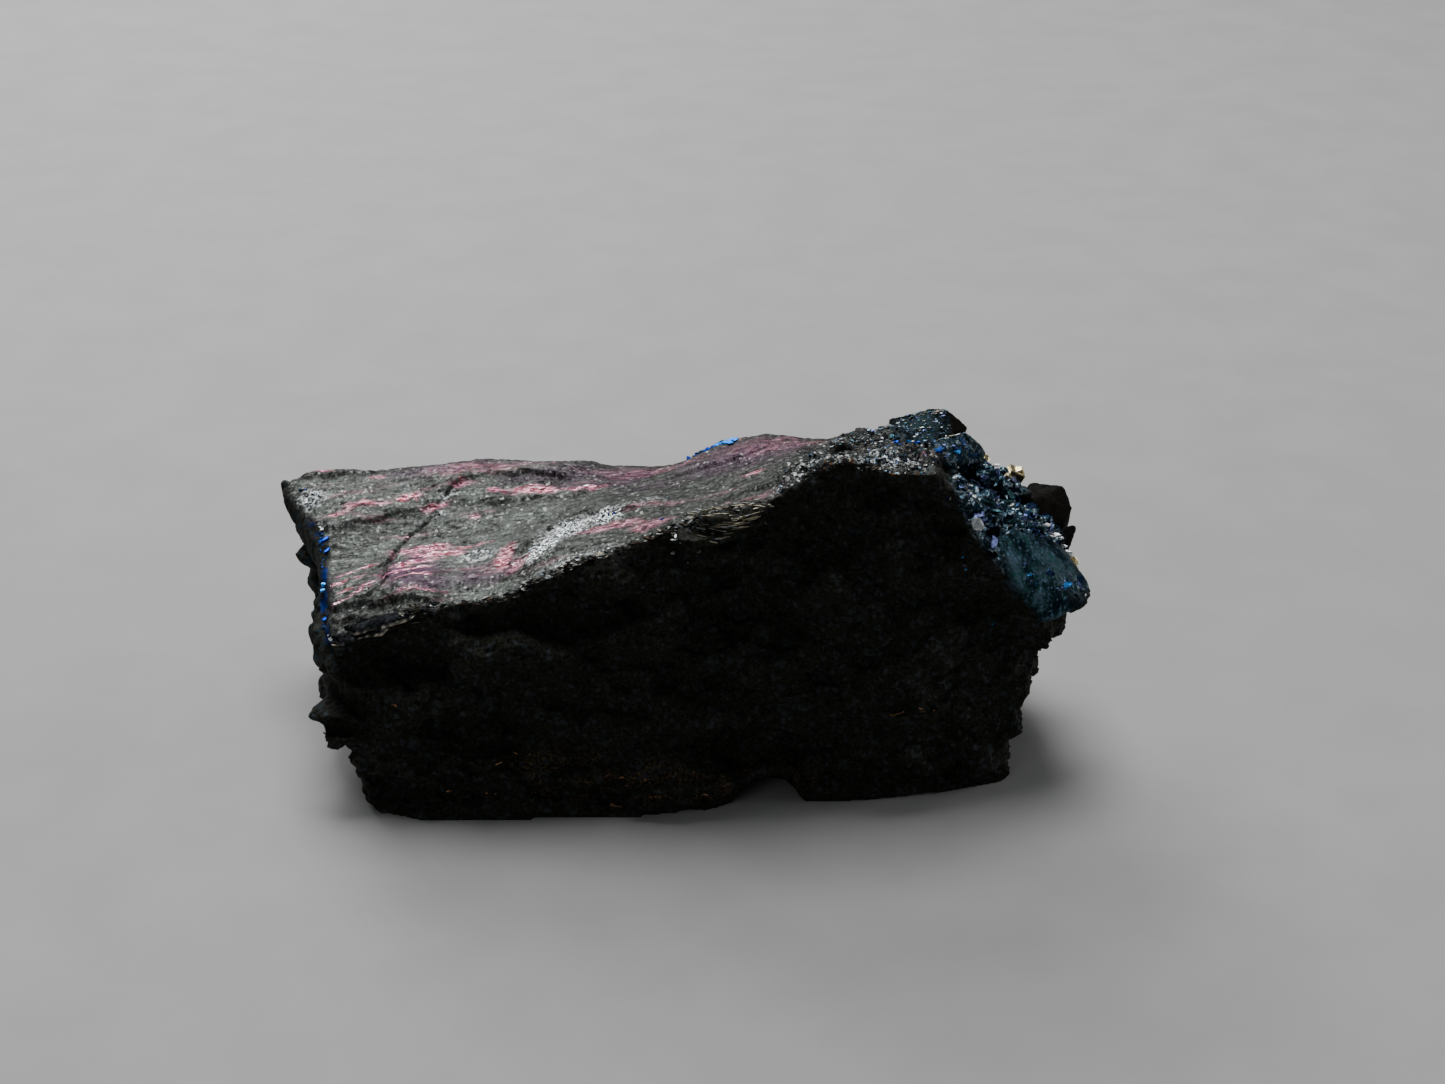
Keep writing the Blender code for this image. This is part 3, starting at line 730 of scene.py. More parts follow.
@dataclass(frozen=True)
class CovelliteFinish:
    """Massive covellite: silky top, black fracture, dark blue ends and a sparkling crust.

    Attributes:
        fracture: Black and less black of the broken sides.
        silk: Dark, usual and light of the cleavage surface.
        line_pitch: Distance between the fine lines, in millimetres.
        speck: Size of the cleavage surface's specks, in millimetres.
        glitter_size: Size of the crust's small facets, in millimetres.
    """

    fracture: tuple[Colour, Colour] = ((0.0078, 0.0081, 0.0062), (0.034, 0.034, 0.027))
    silk: tuple[Colour, Colour, Colour] = ((0.024, 0.026, 0.0235), (0.100, 0.108, 0.102), (0.31, 0.335, 0.32))
    line_pitch: float = 0.12
    speck: float = 0.09
    glitter_size: float = 0.14

    def cleavage(self, board: Board, effects: dict[str, bpy.types.NodeSocket]) -> bpy.types.NodeSocket:
        """Colours the cleavage surface: grey silk, specks, rose, violet and silvery stains, a dull tone that
        also paints shade, painted highlight on the bosses, dark cracks and painted shadow lines.

        Args:
            board: The material's board.
            effects: The patterns and masks.

        Returns:
            The colour.
        """
        parts = (
            board.maths("MULTIPLY", board.spread(effects["lines"], 0.34, 0.68), 0.34),
            board.maths("MULTIPLY", board.spread(effects["grain"], 0.30, 0.70), 0.36),
            board.maths("MULTIPLY", effects["speck"], 0.30),
        )
        tone = board.maths("ADD", board.maths("ADD", parts[0], parts[1]), parts[2])
        sheen = board.blend(board.spread(tone, 0.14, 0.58), self.silk[0], self.silk[1])
        sheen = board.blend(board.spread(tone, 0.60, 0.92), sheen, self.silk[2])
        # The dull tone also paints shade: darker towards the right half and along the rear rim, over random
        # dull patches and dark stains.
        warm = board.blend(board.spread(tone, 0.2, 0.9), (0.011, 0.0115, 0.0105), (0.080, 0.082, 0.076))
        dusk = board.maths("MAXIMUM", board.spread(effects["slow"], 0.46, 0.66, 0.0, 0.55), effects["dusk"])
        sheen = board.blend(dusk, sheen, warm)
        violet = board.blend(board.spread(tone, 0.15, 0.85), (0.020, 0.0105, 0.020), (0.130, 0.070, 0.120))
        sheen = board.blend(
            board.maths("MULTIPLY", effects["violet"], board.spread(effects["breaks"], 0.25, 0.5)),
            sheen,
            violet,
        )
        pale = board.blend(
            board.spread(effects["slow"], 0.42, 0.58), (0.38, 0.066, 0.088), (0.30, 0.062, 0.145)
        )
        rose = board.blend(board.spread(effects["dashes"], 0.38, 0.50), (0.090, 0.026, 0.040), pale)
        rose = board.blend(board.spread(effects["dashes"], 0.50, 0.58), rose, (1.0, 0.48, 0.62))
        shown = board.spread(effects["dashes"], 0.30, 0.52, 0.35, 1.0)
        sheen = board.blend(board.maths("MULTIPLY", effects["rose"], shown), sheen, rose)
        # Silvery grain, which also paints highlight on the bosses.
        silver = board.blend(board.spread(tone, 0.40, 0.66), (0.065, 0.076, 0.080), (0.94, 0.99, 1.0))
        flecked = board.maths("MULTIPLY", effects["silver"], board.spread(effects["grain"], 0.38, 0.54))
        sheen = board.blend(flecked, sheen, silver)
        sheen = board.blend(board.spread(effects["speck"], 0.965, 0.985, 0.0, 0.4), sheen, (0.50, 0.52, 0.48))
        pits = board.maths("MULTIPLY", effects["crest"], board.spread(effects["chance"], 0.52, 0.68))
        sheen = board.blend(pits, sheen, (0.028, 0.031, 0.032))
        # Painted shade in the cracks and painted shadow lines at the foot of the torn edges.
        return board.blend(effects["crack"], sheen, (0.010, 0.009, 0.008))

    def make(self, shelf: EffectShelf) -> bpy.types.Material:
        """Draws the material.

        Args:
            shelf: The shader groups.

        Returns:
            The finished material.
        """
        material, board, shader = new_finish("covellite")
        place = board.place()
        lines = shelf.put(board, shelf.silk, Place=place, Pitch=self.line_pitch)
        spark = shelf.put(board, shelf.sparkle, Place=place, Size=self.glitter_size, Lean=0.9)
        fine = shelf.put(board, shelf.sparkle, Place=place, Size=self.speck, Lean=0.34)
        dull = shelf.put(board, shelf.uneven, Place=place, Pitch=0.9)
        masks = {name: board.mask(name) for name in SlabSkin.MASKS}
        effects = masks | {
            "lines": lines.outputs["Lines"],
            "breaks": lines.outputs["Breaks"],
            "dashes": lines.outputs["Dashes"],
            "slow": dull.outputs["Slow"],
            "grain": dull.outputs["Grain"],
            "speck": fine.outputs["Chance"],
            "chance": spark.outputs["Chance"],
        }
        grain = effects["grain"]

        dark = board.blend(board.spread(grain, 0.35, 0.75), self.fracture[0], self.fracture[1])
        # Warm streaks low on the front, with a painted warm glow thrown up by the floor.
        dark = board.blend(
            board.maths("MULTIPLY", masks["rust"], board.spread(grain, 0.45, 0.65)),
            dark,
            (0.125, 0.088, 0.048),
        )
        glints = board.spread(effects["chance"], 0.80, 0.92)
        dark = board.blend(glints, dark, (0.038, 0.044, 0.048))
        indigo = board.maths("MULTIPLY", masks["left_end"], board.spread(effects["chance"], 0.66, 0.95))
        dark = board.blend(indigo, dark, (0.012, 0.026, 0.034))

        sparks = board.blend(
            board.spread(effects["chance"], 0.45, 0.95), (0.030, 0.080, 0.120), (0.40, 0.52, 0.60)
        )
        crust = board.blend(board.spread(grain, 0.36, 0.60), (0.013, 0.026, 0.034), sparks)
        cloud = board.maths(
            "ADD", board.maths("MULTIPLY", effects["slow"], 0.6), board.maths("MULTIPLY", grain, 0.4)
        )
        slate = board.blend(
            board.spread(effects["lines"], 0.44, 0.56), (0.024, 0.076, 0.074), (0.062, 0.100, 0.140)
        )
        teal = board.blend(board.spread(cloud, 0.42, 0.58), (0.004, 0.012, 0.017), slate)
        teal = board.blend(board.spread(effects["speck"], 0.84, 0.96, 0.0, 0.5), teal, (0.11, 0.20, 0.30))
        umber = board.blend(
            board.spread(grain, 0.35, 0.7), (0.0018, 0.0022, 0.0020), (0.0085, 0.0060, 0.0045)
        )

        colour = board.blend(masks["cleavage"], dark, self.cleavage(board, effects))
        colour = board.blend(masks["crust"], colour, crust)
        colour = board.blend(masks["teal"], colour, teal)
        colour = board.blend(masks["umber"], colour, umber)
        colour = board.blend(masks["blue"], colour, (0.005, 0.030, 0.190))

        metal = board.maths(
            "MAXIMUM", board.maths("MULTIPLY", masks["cleavage"], 0.85), board.maths("MULTIPLY", glints, 0.6)
        )
        for name in ("crust", "teal", "blue"):
            metal = board.maths("MAXIMUM", metal, masks[name])
        shine = board.blend(masks["cleavage"], (0.66, 0.66, 0.66), (0.42, 0.42, 0.42))
        gleam = board.maths("MULTIPLY", masks["rose"], board.spread(effects["dashes"], 0.46, 0.56))
        shine = board.blend(board.maths("MAXIMUM", gleam, masks["silver"]), shine, (0.24, 0.24, 0.24))
        shine = board.blend(masks["crust"], shine, (0.30, 0.30, 0.30))
        shine = board.blend(masks["teal"], shine, (0.36, 0.36, 0.36))
        rough = board.maths("ADD", shine, board.maths("MULTIPLY", board.maths("SUBTRACT", grain, 0.5), 0.30))

        lined = board.maths("MAXIMUM", masks["cleavage"], board.maths("MULTIPLY", masks["teal"], 0.8))
        height = board.maths("MULTIPLY", lined, effects["lines"])
        height = board.maths("ADD", height, board.maths("MULTIPLY", grain, 1.2))
        lean = board.maths("MAXIMUM", masks["crust"], board.maths("MAXIMUM", masks["crest"], masks["silver"]))
        lean = board.maths("MULTIPLY", lean, board.maths("SUBTRACT", 1.0, masks["teal"]))
        broken = board.maths("SUBTRACT", 1.0, board.maths("MAXIMUM", masks["cleavage"], masks["teal"]))
        lean = board.maths("MAXIMUM", lean, board.maths("MULTIPLY", broken, 0.5))
        flecks = board.maths("SUBTRACT", 0.8, board.maths("MULTIPLY", gleam, 0.35))
        facing = board.mix_vector(
            board.maths("MULTIPLY", masks["cleavage"], flecks), board.normal(), fine.outputs["Normal"]
        )
        facing = board.mix_vector(lean, facing, spark.outputs["Normal"])
        bump = board.add("ShaderNodeBump", Height=height, Strength=0.6, Distance=0.06 * MM, Normal=facing)
        board.tree.links.new(colour, shader.inputs["Base Color"])
        board.tree.links.new(metal, shader.inputs["Metallic"])
        board.tree.links.new(rough, shader.inputs["Roughness"])
        board.tree.links.new(bump.outputs[0], shader.inputs["Normal"])
        shader.inputs["Specular IOR Level"].default_value = 0.08
        shader.inputs["Specular Tint"].default_value = METAL_EDGE_TINT
        return material


@dataclass(frozen=True)
class ChipFinish:
    """Bare faces of small crystals and thin sheets, coloured by their own films.

    Attributes:
        name: The material's name.
        roughness: How dull the faces are.
        lean: How much their fine facets lean.
        clean: The smallest share of their own colour that shows.
    """

    name: str
    roughness: float
    lean: float
    clean: float = 0.45

    def make(self, shelf: EffectShelf) -> bpy.types.Material:
        """Draws the material.

        Args:
            shelf: The shader groups.

        Returns:
            The finished material.
        """
        material, board, shader = new_finish(self.name)
        place = board.place()
        dull = shelf.put(board, shelf.uneven, Place=place, Pitch=0.35)
        spark = shelf.put(board, shelf.sparkle, Place=place, Size=0.11, Lean=self.lean)
        film = board.film("film")
        shade = board.spread(dull.outputs["Grain"], 0.3, 0.7, self.clean, 1.0)
        colour = board.blend(shade, (0.006, 0.008, 0.012), film)
        rough = board.spread(dull.outputs["Grain"], 0.3, 0.7, self.roughness + 0.14, self.roughness - 0.06)
        bump = board.add(
            "ShaderNodeBump", Height=dull.outputs["Grain"], Strength=0.3, Distance=0.03 * MM,
            Normal=spark.outputs["Normal"],
        )
        board.tree.links.new(colour, shader.inputs["Base Color"])
        board.tree.links.new(rough, shader.inputs["Roughness"])
        board.tree.links.new(bump.outputs[0], shader.inputs["Normal"])
        shader.inputs["Metallic"].default_value = 0.95
        shader.inputs["Specular Tint"].default_value = METAL_EDGE_TINT
        return material


@dataclass(frozen=True)
class PyriteFinish:
    """Pale gold pyrite with finely lined faces.

    Attributes:
        pale: Colour of the clean faces.
        deep: Colour of the tarnished faces.
    """

    pale: Colour = (1.0, 0.91, 0.60)
    deep: Colour = (0.70, 0.55, 0.26)

    def make(self, shelf: EffectShelf) -> bpy.types.Material:
        """Draws the material.

        Args:
            shelf: The shader groups.

        Returns:
            The finished material.
        """
        material, board, shader = new_finish("pyrite")
        place = board.place()
        dull = shelf.put(board, shelf.uneven, Place=place, Pitch=0.4)
        ruled = board.stretched(place, (0.7, 0.05, 0.3))
        lines = board.add("ShaderNodeTexNoise", in_0=ruled, Scale=1.0, Detail=2.0)
        colour = board.blend(board.spread(dull.outputs["Slow"], 0.35, 0.65), self.deep, self.pale)
        rough = board.spread(dull.outputs["Grain"], 0.3, 0.7, 0.38, 0.2)
        bump = board.add("ShaderNodeBump", Height=lines.outputs["Fac"], Strength=0.35, Distance=0.02 * MM)
        board.tree.links.new(colour, shader.inputs["Base Color"])
        board.tree.links.new(rough, shader.inputs["Roughness"])
        board.tree.links.new(bump.outputs[0], shader.inputs["Normal"])
        shader.inputs["Metallic"].default_value = 1.0
        return material


def add_mask(mesh: bpy.types.Mesh, name: str, values: np.ndarray) -> None:
    """Stores one value for each point of a mesh."""
    layer = mesh.attributes.new(name, "FLOAT", "POINT")
    layer.data.foreach_set("value", np.ascontiguousarray(values, dtype=np.float32))


@dataclass
class SlabSkin:
    """The whole covellite mass with its fine relief, in three pieces that share one skin.

    Attributes:
        solid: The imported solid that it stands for.
        finish: The covellite material.
        skin_size: Size of its faces, in millimetres.
        noise_seed: Where the noise starts, which Blender otherwise takes from the clock.
        melt: How often the top and the broken sides are evened out before the fine relief.
        melt_share: How far a point moves to its neighbours' mean each time.
        calm_reach: How far the top's own height is averaged, in millimetres.
        calm_share: How much of that average the top takes on.
        swell: How far the broken sides stand out, which makes up for the evening out.
    """

    solid: bpy.types.Object
    finish: bpy.types.Material
    skin_size: float = 0.084
    noise_seed: int = 7
    melt: tuple[int, int] = (30, 4)
    melt_share: float = 0.55
    calm_reach: float = 0.42
    calm_share: float = 0.94
    swell: float = 0.05
    MASKS = (
        "cleavage", "crest", "crust", "left_end", "rose", "violet", "silver", "dusk", "crack", "teal",
        "umber", "blue", "rust",
    )

    def build(self) -> list[bpy.types.Object]:
        """Makes the skin, gives it its relief and masks, and cuts it into its pieces.

        Returns:
            The finished pieces.
        """
        noise.seed_set(self.noise_seed)
        self.copy_solid()
        self.regions = self.read_regions()
        self.even_out()
        self.raise_relief()
        self.stain()
        pieces = self.cut_up()
        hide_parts(self.solid.name)
        return pieces

    def copy_solid(self) -> None:
        """Copies the solid in drawing millimetres and reads one skin of even faces from it."""
        mesh = self.solid.data.copy()
        mesh.transform(Matrix.Translation(-DRAWING_MOVE) @ Matrix.Scale(1 / MM, 4) @ self.solid.matrix_world)
        bm = bmesh.new()
        bm.from_mesh(mesh)
        bmesh.ops.remove_doubles(bm, verts=bm.verts, dist=SAME_POINT)
        bm.to_mesh(mesh)
        bm.free()
        obj = bpy.data.objects.new("skin", mesh)
        bpy.context.scene.collection.objects.link(obj)
        even = obj.modifiers.new("one skin", "REMESH")
        even.mode = "VOXEL"
        even.voxel_size = self.skin_size
        graph = bpy.context.evaluated_depsgraph_get()
        self.mesh = bpy.data.meshes.new_from_object(obj.evaluated_get(graph))
        bpy.data.objects.remove(obj)
        self.points = self.read("vertices", "co", 3).astype(float)
        self.edges = self.read("edges", "vertices", 2)
        self.faces = self.read("polygons", "vertices", 4)

    def read(self, part: str, name: str, width: int) -> np.ndarray:
        """Reads one field of the skin's mesh as rows of numbers.

        Args:
            part: The mesh's list, such as its vertices.
            name: The field.
            width: How many numbers each item has.

        Returns:
            One row for each item.
        """
        items = getattr(self.mesh, part)
        kind = np.float32 if name in ("co", "normal") else np.int32
        values = np.empty(len(items) * width, dtype=kind)
        items.foreach_get(name, values)
        return values.reshape(-1, width)

    def normals(self) -> np.ndarray:
        """Works out the skin's present normals.

        Returns:
            One direction for each point.
        """
        self.mesh.vertices.foreach_set("co", self.points.astype(np.float32).ravel())
        self.mesh.update()
        return self.read("vertices", "normal", 3).astype(float)

    def averaged(self, values: np.ndarray) -> np.ndarray:
        """Works out the mean of each point's neighbours along the edges.

        Args:
            values: One row for each point.

        Returns:
            The means, in rows as the values.
        """
        first, second = self.edges[:, 0], self.edges[:, 1]
        count = np.bincount(first, minlength=len(values)) + np.bincount(second, minlength=len(values))
        total = np.empty_like(values)
        for axis in range(values.shape[1]):
            total[:, axis] = np.bincount(first, values[second, axis], len(values))
            total[:, axis] += np.bincount(second, values[first, axis], len(values))
        return total / np.maximum(count, 1)[:, None]

    def read_regions(self) -> dict[str, np.ndarray]:
        """Finds which part of the specimen each point belongs to, from where it lies.

        Returns:
            The masks by name, each with a share from 0 to 1 for each point.
        """
        x, y, z = self.points.T
        facing = self.normals()
        for _ in range(CALMING_ROUNDS):
            facing = self.averaged(facing)
        facing /= np.maximum(np.linalg.norm(facing, axis=1), 1e-6)[:, None]
        lip, rim = Rail.LIP.at(x), Rail.RIM.at(x)
        top = self.rail_height()
        left_edge = np.interp(y, *np.array(END_EDGE).T)
        right_edge = 7.5 + 0.18 * (y + 4.4)
        cleavage = smooth(0.85, 0.45, top - z) * smooth(0.25, 0.5, facing[:, 2])
        cleavage *= smooth(-0.05, 0.15, x - left_edge) * smooth(0.35, -0.15, x - right_edge)
        cleavage *= smooth(-0.25, 0.1, y - lip[0]) * smooth(0.5, 0.1, y - rim[0])
        teal = np.maximum(TIP_FLAKE.cover(self.points), PEAK_FACE.cover(self.points))
        knob = KNOB_FACE.cover(self.points)
        block = np.max(np.abs((self.points - np.array(FIN_MIDDLE)) / np.array(FIN_HALF)), axis=1)
        umber = np.maximum(smooth(1.1, 0.9, block), PEAK_END.cover(self.points)) * (1 - teal)
        umber = np.maximum(umber, np.maximum(0.80 * PEAK_FACE.cover(self.points), 0.5 * knob))
        crust_edge = np.where(z > 10.1, 8.2 + 0.42 * (12.2 - z), 9.1 + 0.73 * (10.1 - z))
        crust = smooth(-0.15, 0.25, x - crust_edge) * smooth(6.5, 7.1, z + 0.15 * (y + 1)) * (1 - cleavage)
        left = smooth(0.35, -0.15, x - left_edge) * smooth(1.5, 4.5, z) * smooth(-5.4, -4.7, y)
        faces = np.clip(teal + umber + knob, 0, 1)
        return {
            "cleavage": cleavage * (1 - faces),
            "crest": cleavage * smooth(1.6, 3.4, x - 0.45 * (y + 4.0)) * (1 - faces),
            "crust": np.maximum(crust * (1 - faces), 0.75 * knob),
            "teal": teal,
            "umber": umber,
            "flat": faces,
            "left_end": left * (1 - cleavage),
        }

    def rail_height(self) -> np.ndarray:
        """Works out the height of the surface that the three rails span, at each point.

        Returns:
            The heights, in millimetres.
        """
        x, y, _ = self.points.T
        lip, middle, rim = (rail.at(x) for rail in (Rail.LIP, Rail.MIDDLE, Rail.RIM))
        front = np.clip((y - lip[0]) / (middle[0] - lip[0]), 0, 1)
        back = np.clip((y - middle[0]) / (rim[0] - middle[0]), 0, 1)
        return lip[1] + front * (middle[1] - lip[1]) + back * (rim[1] - middle[1])

    def even_out(self) -> None:
        """Softens the solid's facets, more on the cleavage surface, and brings the outline closer."""
        top, flat = self.regions["cleavage"], self.regions["flat"]
        rails = self.rail_height()
        calm = rails + blurred(self.points[:, 2] - rails, top, self.points, self.calm_reach)
        self.points[:, 2] += self.calm_share * top * (calm - self.points[:, 2])
        for step in range(max(self.melt)):
            weight = np.where(step < self.melt[0], top, 0) + np.where(step < self.melt[1], 1 - top, 0)
            weight *= self.melt_share * (1 - 0.6 * flat)
            weight[self.points[:, 2] < 0.03] = 0
            self.points += weight[:, None] * (self.averaged(self.points) - self.points)
        for nudge in NUDGES:
            self.points += nudge.moves(self.points)

    def raise_relief(self) -> None:
        """Moves each point by the fine relief of its region."""
        regions = self.regions
        ground = smooth(0.02, 0.5, self.points[:, 2])
        rise = self.swell * (1 - regions["cleavage"])
        for i, (point, top, crest, crust, calm) in enumerate(
            zip(self.points, regions["cleavage"], regions["crest"], regions["crust"], regions["flat"])
        ):
            where = Vector(point)
            if top > 0.01:
                rise[i] += top * (1 - 0.6 * crest) * silk_relief(where)
            if crest > 0.01:
                rise[i] += crest * (
                    facets(where, (0.24, 0.20, 0.22), 0.035) + facets(where, (0.8, 0.6, 0.7), 0.07)
                )
            if top < 0.99:
                rough = hackle_relief(where) if crust < 0.99 else 0.0
                if crust > 0.01:
                    crystals = facets(where, (0.55, 0.5, 0.4), 0.10) + facets(where, (0.26, 0.24, 0.2), 0.04)
                    rough = (1 - crust) * rough + crust * crystals
                rise[i] += (1 - top) * (1 - 0.88 * calm) * (1 - 0.6 * ease(-12.0, -13.2, point[0])) * rough
        self.points += self.normals() * (rise * ground)[:, None]
        self.wander()
        up = np.zeros(len(self.points))
        for edge in TORN_EDGES:
            up += edge.lift(self.ragged)
        for crack in CRACKS:
            up -= crack.depth * crack.shade(self.ragged)
        self.points[:, 2] = np.maximum(self.points[:, 2] + up * regions["cleavage"], 0.0)

    def wander(self) -> None:
        """Works out ragged coordinates, in which the top's lines and stains get torn outlines."""
        self.ragged = self.points.copy()
        for i in np.flatnonzero(self.regions["cleavage"] > 0.01):
            where = Vector(self.points[i])
            step = 0.22 * noise.noise_vector(where * 0.9) + 0.14 * noise.noise_vector(where * 3.1)
            self.ragged[i] += step

    def stain(self) -> None:
        """Works out the masks of the stains and painted shade, the dark lines of painted shadow, the glints
        and the warm band low on the front with its painted floor glow.
        """
        regions = self.regions
        top = regions["cleavage"]
        streaks = np.array([noise.noise(Vector((p[0] * 0.35, p[1] * 2.4, 3.3))) for p in self.points])
        stains = {
            "rose": ROSE_PATCHES,
            "violet": VIOLET_PATCHES,
            "silver": SILVER_AND_HIGHLIGHT_PATCHES,
            "dusk": DULL_AND_SHADE_PATCHES,
        }
        for name, patches in stains.items():
            cover = np.max([patch.cover(self.ragged) for patch in patches], axis=0)
            stray = smooth(0.35, 0.65, streaks) * (0.15 if name == "rose" else 0.0)
            regions[name] = np.clip(cover + stray, 0, 1) * top
        # Painted shade: darker towards the right half of the top and along the rear rim.
        to_rim = Rail.RIM.at(self.points[:, 0])[0] - self.points[:, 1]
        shade = np.maximum(0.72 * smooth(-6.0, -2.5, self.points[:, 0]), 0.9 * smooth(0.9, 0.2, to_rim))
        regions["dusk"] = np.maximum(regions["dusk"], shade * top)
        # Painted shadow lines at the foot of the torn edges, and painted shade in the cracks.
        lines = [0.75 * edge.shade(self.ragged) for edge in TORN_EDGES]
        lines += [crack.shade(self.ragged) for crack in CRACKS]
        broken = np.array([noise.noise(Vector((p[0] * 1.3, p[1] * 1.3, 5.1))) for p in self.points])
        regions["crack"] = 0.85 * np.max(lines, axis=0) * (0.35 + 0.65 * smooth(-0.25, 0.20, broken)) * top
        x, y, z = self.points.T
        inside = np.interp(y, *np.array(END_EDGE).T) - x
        band = smooth(0.20, 0.05, np.abs(inside - 0.08)) * smooth(2.0, 1.3, y) * smooth(5.8, 6.2, z)
        regions["blue"] = 0.9 * band * smooth(-0.25, 0.15, streaks) * (1 - top)
        # A warm band low on the front: streaks, and painted warm floor glow.
        low = smooth(0.3, 0.9, z) * smooth(2.8, 1.2, z) * smooth(0.10, 0.5, streaks)
        regions["rust"] = np.clip(low * smooth(-4.2, -4.9, y), 0, 1) * (1 - top)

    def cut_up(self) -> list[bpy.types.Object]:
        """Cuts the skin into a top, a front and a rear piece, which keep the whole skin's normals.

        Returns:
            The three pieces, the top first.
        """
        facing = self.normals()
        upper = np.max([self.regions[name] for name in ("cleavage", "crust", "teal", "umber")], axis=0)
        is_top = upper[self.faces].max(axis=1) > 0.02
        is_rear = self.points[self.faces, 1].mean(axis=1) > 0
        groups = {
            "covellite_top": is_top,
            "covellite_front": ~is_top & ~is_rear,
            "covellite_rear": ~is_top & is_rear,
        }
        return [self.piece(name, self.faces[chosen], facing) for name, chosen in groups.items()]

    def piece(self, name: str, faces: np.ndarray, facing: np.ndarray) -> bpy.types.Object:
        """Makes one piece from some of the skin's faces.

        Args:
            name: The piece's name.
            faces: The chosen faces, as rows of four points.
            facing: The normals of all points.

        Returns:
            The finished piece.
        """
        used, corners = np.unique(faces.ravel(), return_inverse=True)
        mesh = bpy.data.meshes.new(name)
        mesh.vertices.add(len(used))
        mesh.vertices.foreach_set("co", self.points[used].astype(np.float32).ravel())
        mesh.loops.add(len(corners))
        mesh.loops.foreach_set("vertex_index", corners.astype(np.int32))
        mesh.polygons.add(len(faces))
        mesh.polygons.foreach_set("loop_start", np.arange(0, len(corners), 4, dtype=np.int32))
        mesh.update(calc_edges=True)
        for mask in self.MASKS:
            add_mask(mesh, mask, self.regions[mask][used])
        mesh.transform(Matrix.Scale(MM, 4) @ Matrix.Translation(DRAWING_MOVE))
        mesh.materials.append(self.finish)
        mesh.shade_smooth()
        mesh.normals_split_custom_set_from_vertices(facing[used])
        obj = bpy.data.objects.new(name, mesh)
        bpy.context.scene.collection.objects.link(obj)
        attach(obj, "root")
        return obj


def facets(where: Vector, pitch: Point, reach: float) -> float:
    """Flat facets, each at its own height and leaning its own way.

    Args:
        where: A point in drawing millimetres.
        pitch: The facets' size along, across and up.
        reach: How far they stand out or in.

    Returns:
        How far the surface rises at the point.
    """
    scaled = Vector((where.x / pitch[0] + 31.7, where.y / pitch[1] + 12.3, where.z / pitch[2] + 7.9))
    centre = noise.voronoi(scaled)[1][0]
    lean = 2 * noise.cell_vector(centre * 9.1) - Vector((1, 1, 1))
    height = 2 * noise.cell(centre * 13.7) - 1
    return reach * (height + lean.dot(scaled - centre))


def blurred(values: np.ndarray, weights: np.ndarray, where: np.ndarray, reach: float) -> np.ndarray:
    """Averages each point's value with those of the points around it, seen from above.

    Args:
        values: One value for each point.
        weights: How much each point counts.
        where: The points.
        reach: How far the averaging reaches, in millimetres.

    Returns:
        The averaged values.
    """
    step = reach / BELL_STEPS
    at = (where[:, :2] - where[:, :2].min(axis=0)) / step + BELL_SPAN
    shape = tuple(at.max(axis=0).astype(int) + BELL_SPAN + 2)
    cell = np.ravel_multi_index(np.rint(at).astype(int).T, shape)
    size = shape[0] * shape[1]
    grids = [np.bincount(cell, part, size).reshape(shape) for part in (weights * values, weights)]
    bell = np.exp(-0.5 * (np.arange(-BELL_SPAN, BELL_SPAN + 1) / BELL_STEPS) ** 2)
    for axis in (0, 1):
        grids = [np.apply_along_axis(np.convolve, axis, grid, bell, "same") for grid in grids]
    mean = grids[0] / np.maximum(grids[1], 1e-9)
    low = np.floor(at).astype(int)
    part = at - low
    total = np.zeros(len(at))
    for i, j in ((0, 0), (1, 0), (0, 1), (1, 1)):
        share = np.abs(1 - i - part[:, 0]) * np.abs(1 - j - part[:, 1])
        total += share * mean[low[:, 0] + i, low[:, 1] + j]
    return total


def silk_relief(where: Vector) -> float:
    """Works out the relief of the cleavage surface: soft waves, fine lines, torn sheet edges and grit.

    Args:
        where: A point in drawing millimetres.

    Returns:
        How far the surface rises at the point.
    """
    bend = 0.5 * noise.noise(Vector((where.x * 0.25, where.y * 0.6, 4.0)))
    waves = noise.noise(Vector((where.x * 0.35, where.y * 0.7, 8.8)))
    lines = noise.noise(Vector((where.x * 0.6, (where.y + bend) * 3.2, 1.7)))
    fine = noise.noise(Vector((where.x * 2.0, (where.y + bend) * 6.5, 9.2)))
    layer = 4.0 * noise.noise(Vector((where.x * 0.30, (where.y + bend) * 0.8, 6.0)))
    whole = math.floor(layer)
    sheet = whole + ease(0.90, 1.0, layer - whole)
    grit = facets(where, (0.26, 0.20, 0.22), 0.013)
    return 0.09 * waves + 0.016 * lines + 0.012 * fine + 0.026 * sheet + grit


def hackle_relief(where: Vector) -> float:
    """Works out the relief of the broken sides: small facets, sheet edges and grit.

    Args:
        where: A point in drawing millimetres.

    Returns:
        How far the surface rises at the point.
    """
    layer = (where.z - 0.12 * where.x) / 0.55 + 1.3 * noise.noise(where * 0.45)
    whole = math.floor(layer)
    sheet = noise.noise(Vector((where.x * 0.5, where.y * 0.5, whole * 4.1)))
    grit = noise.fractal(where * 3.6, 0.7, 2.2, 2)
    broad = facets(where, (1.1, 1.1, 0.6), 0.06)
    return 0.075 * sheet + 0.022 * grit + broad + facets(where, (0.40, 0.40, 0.28), 0.030)


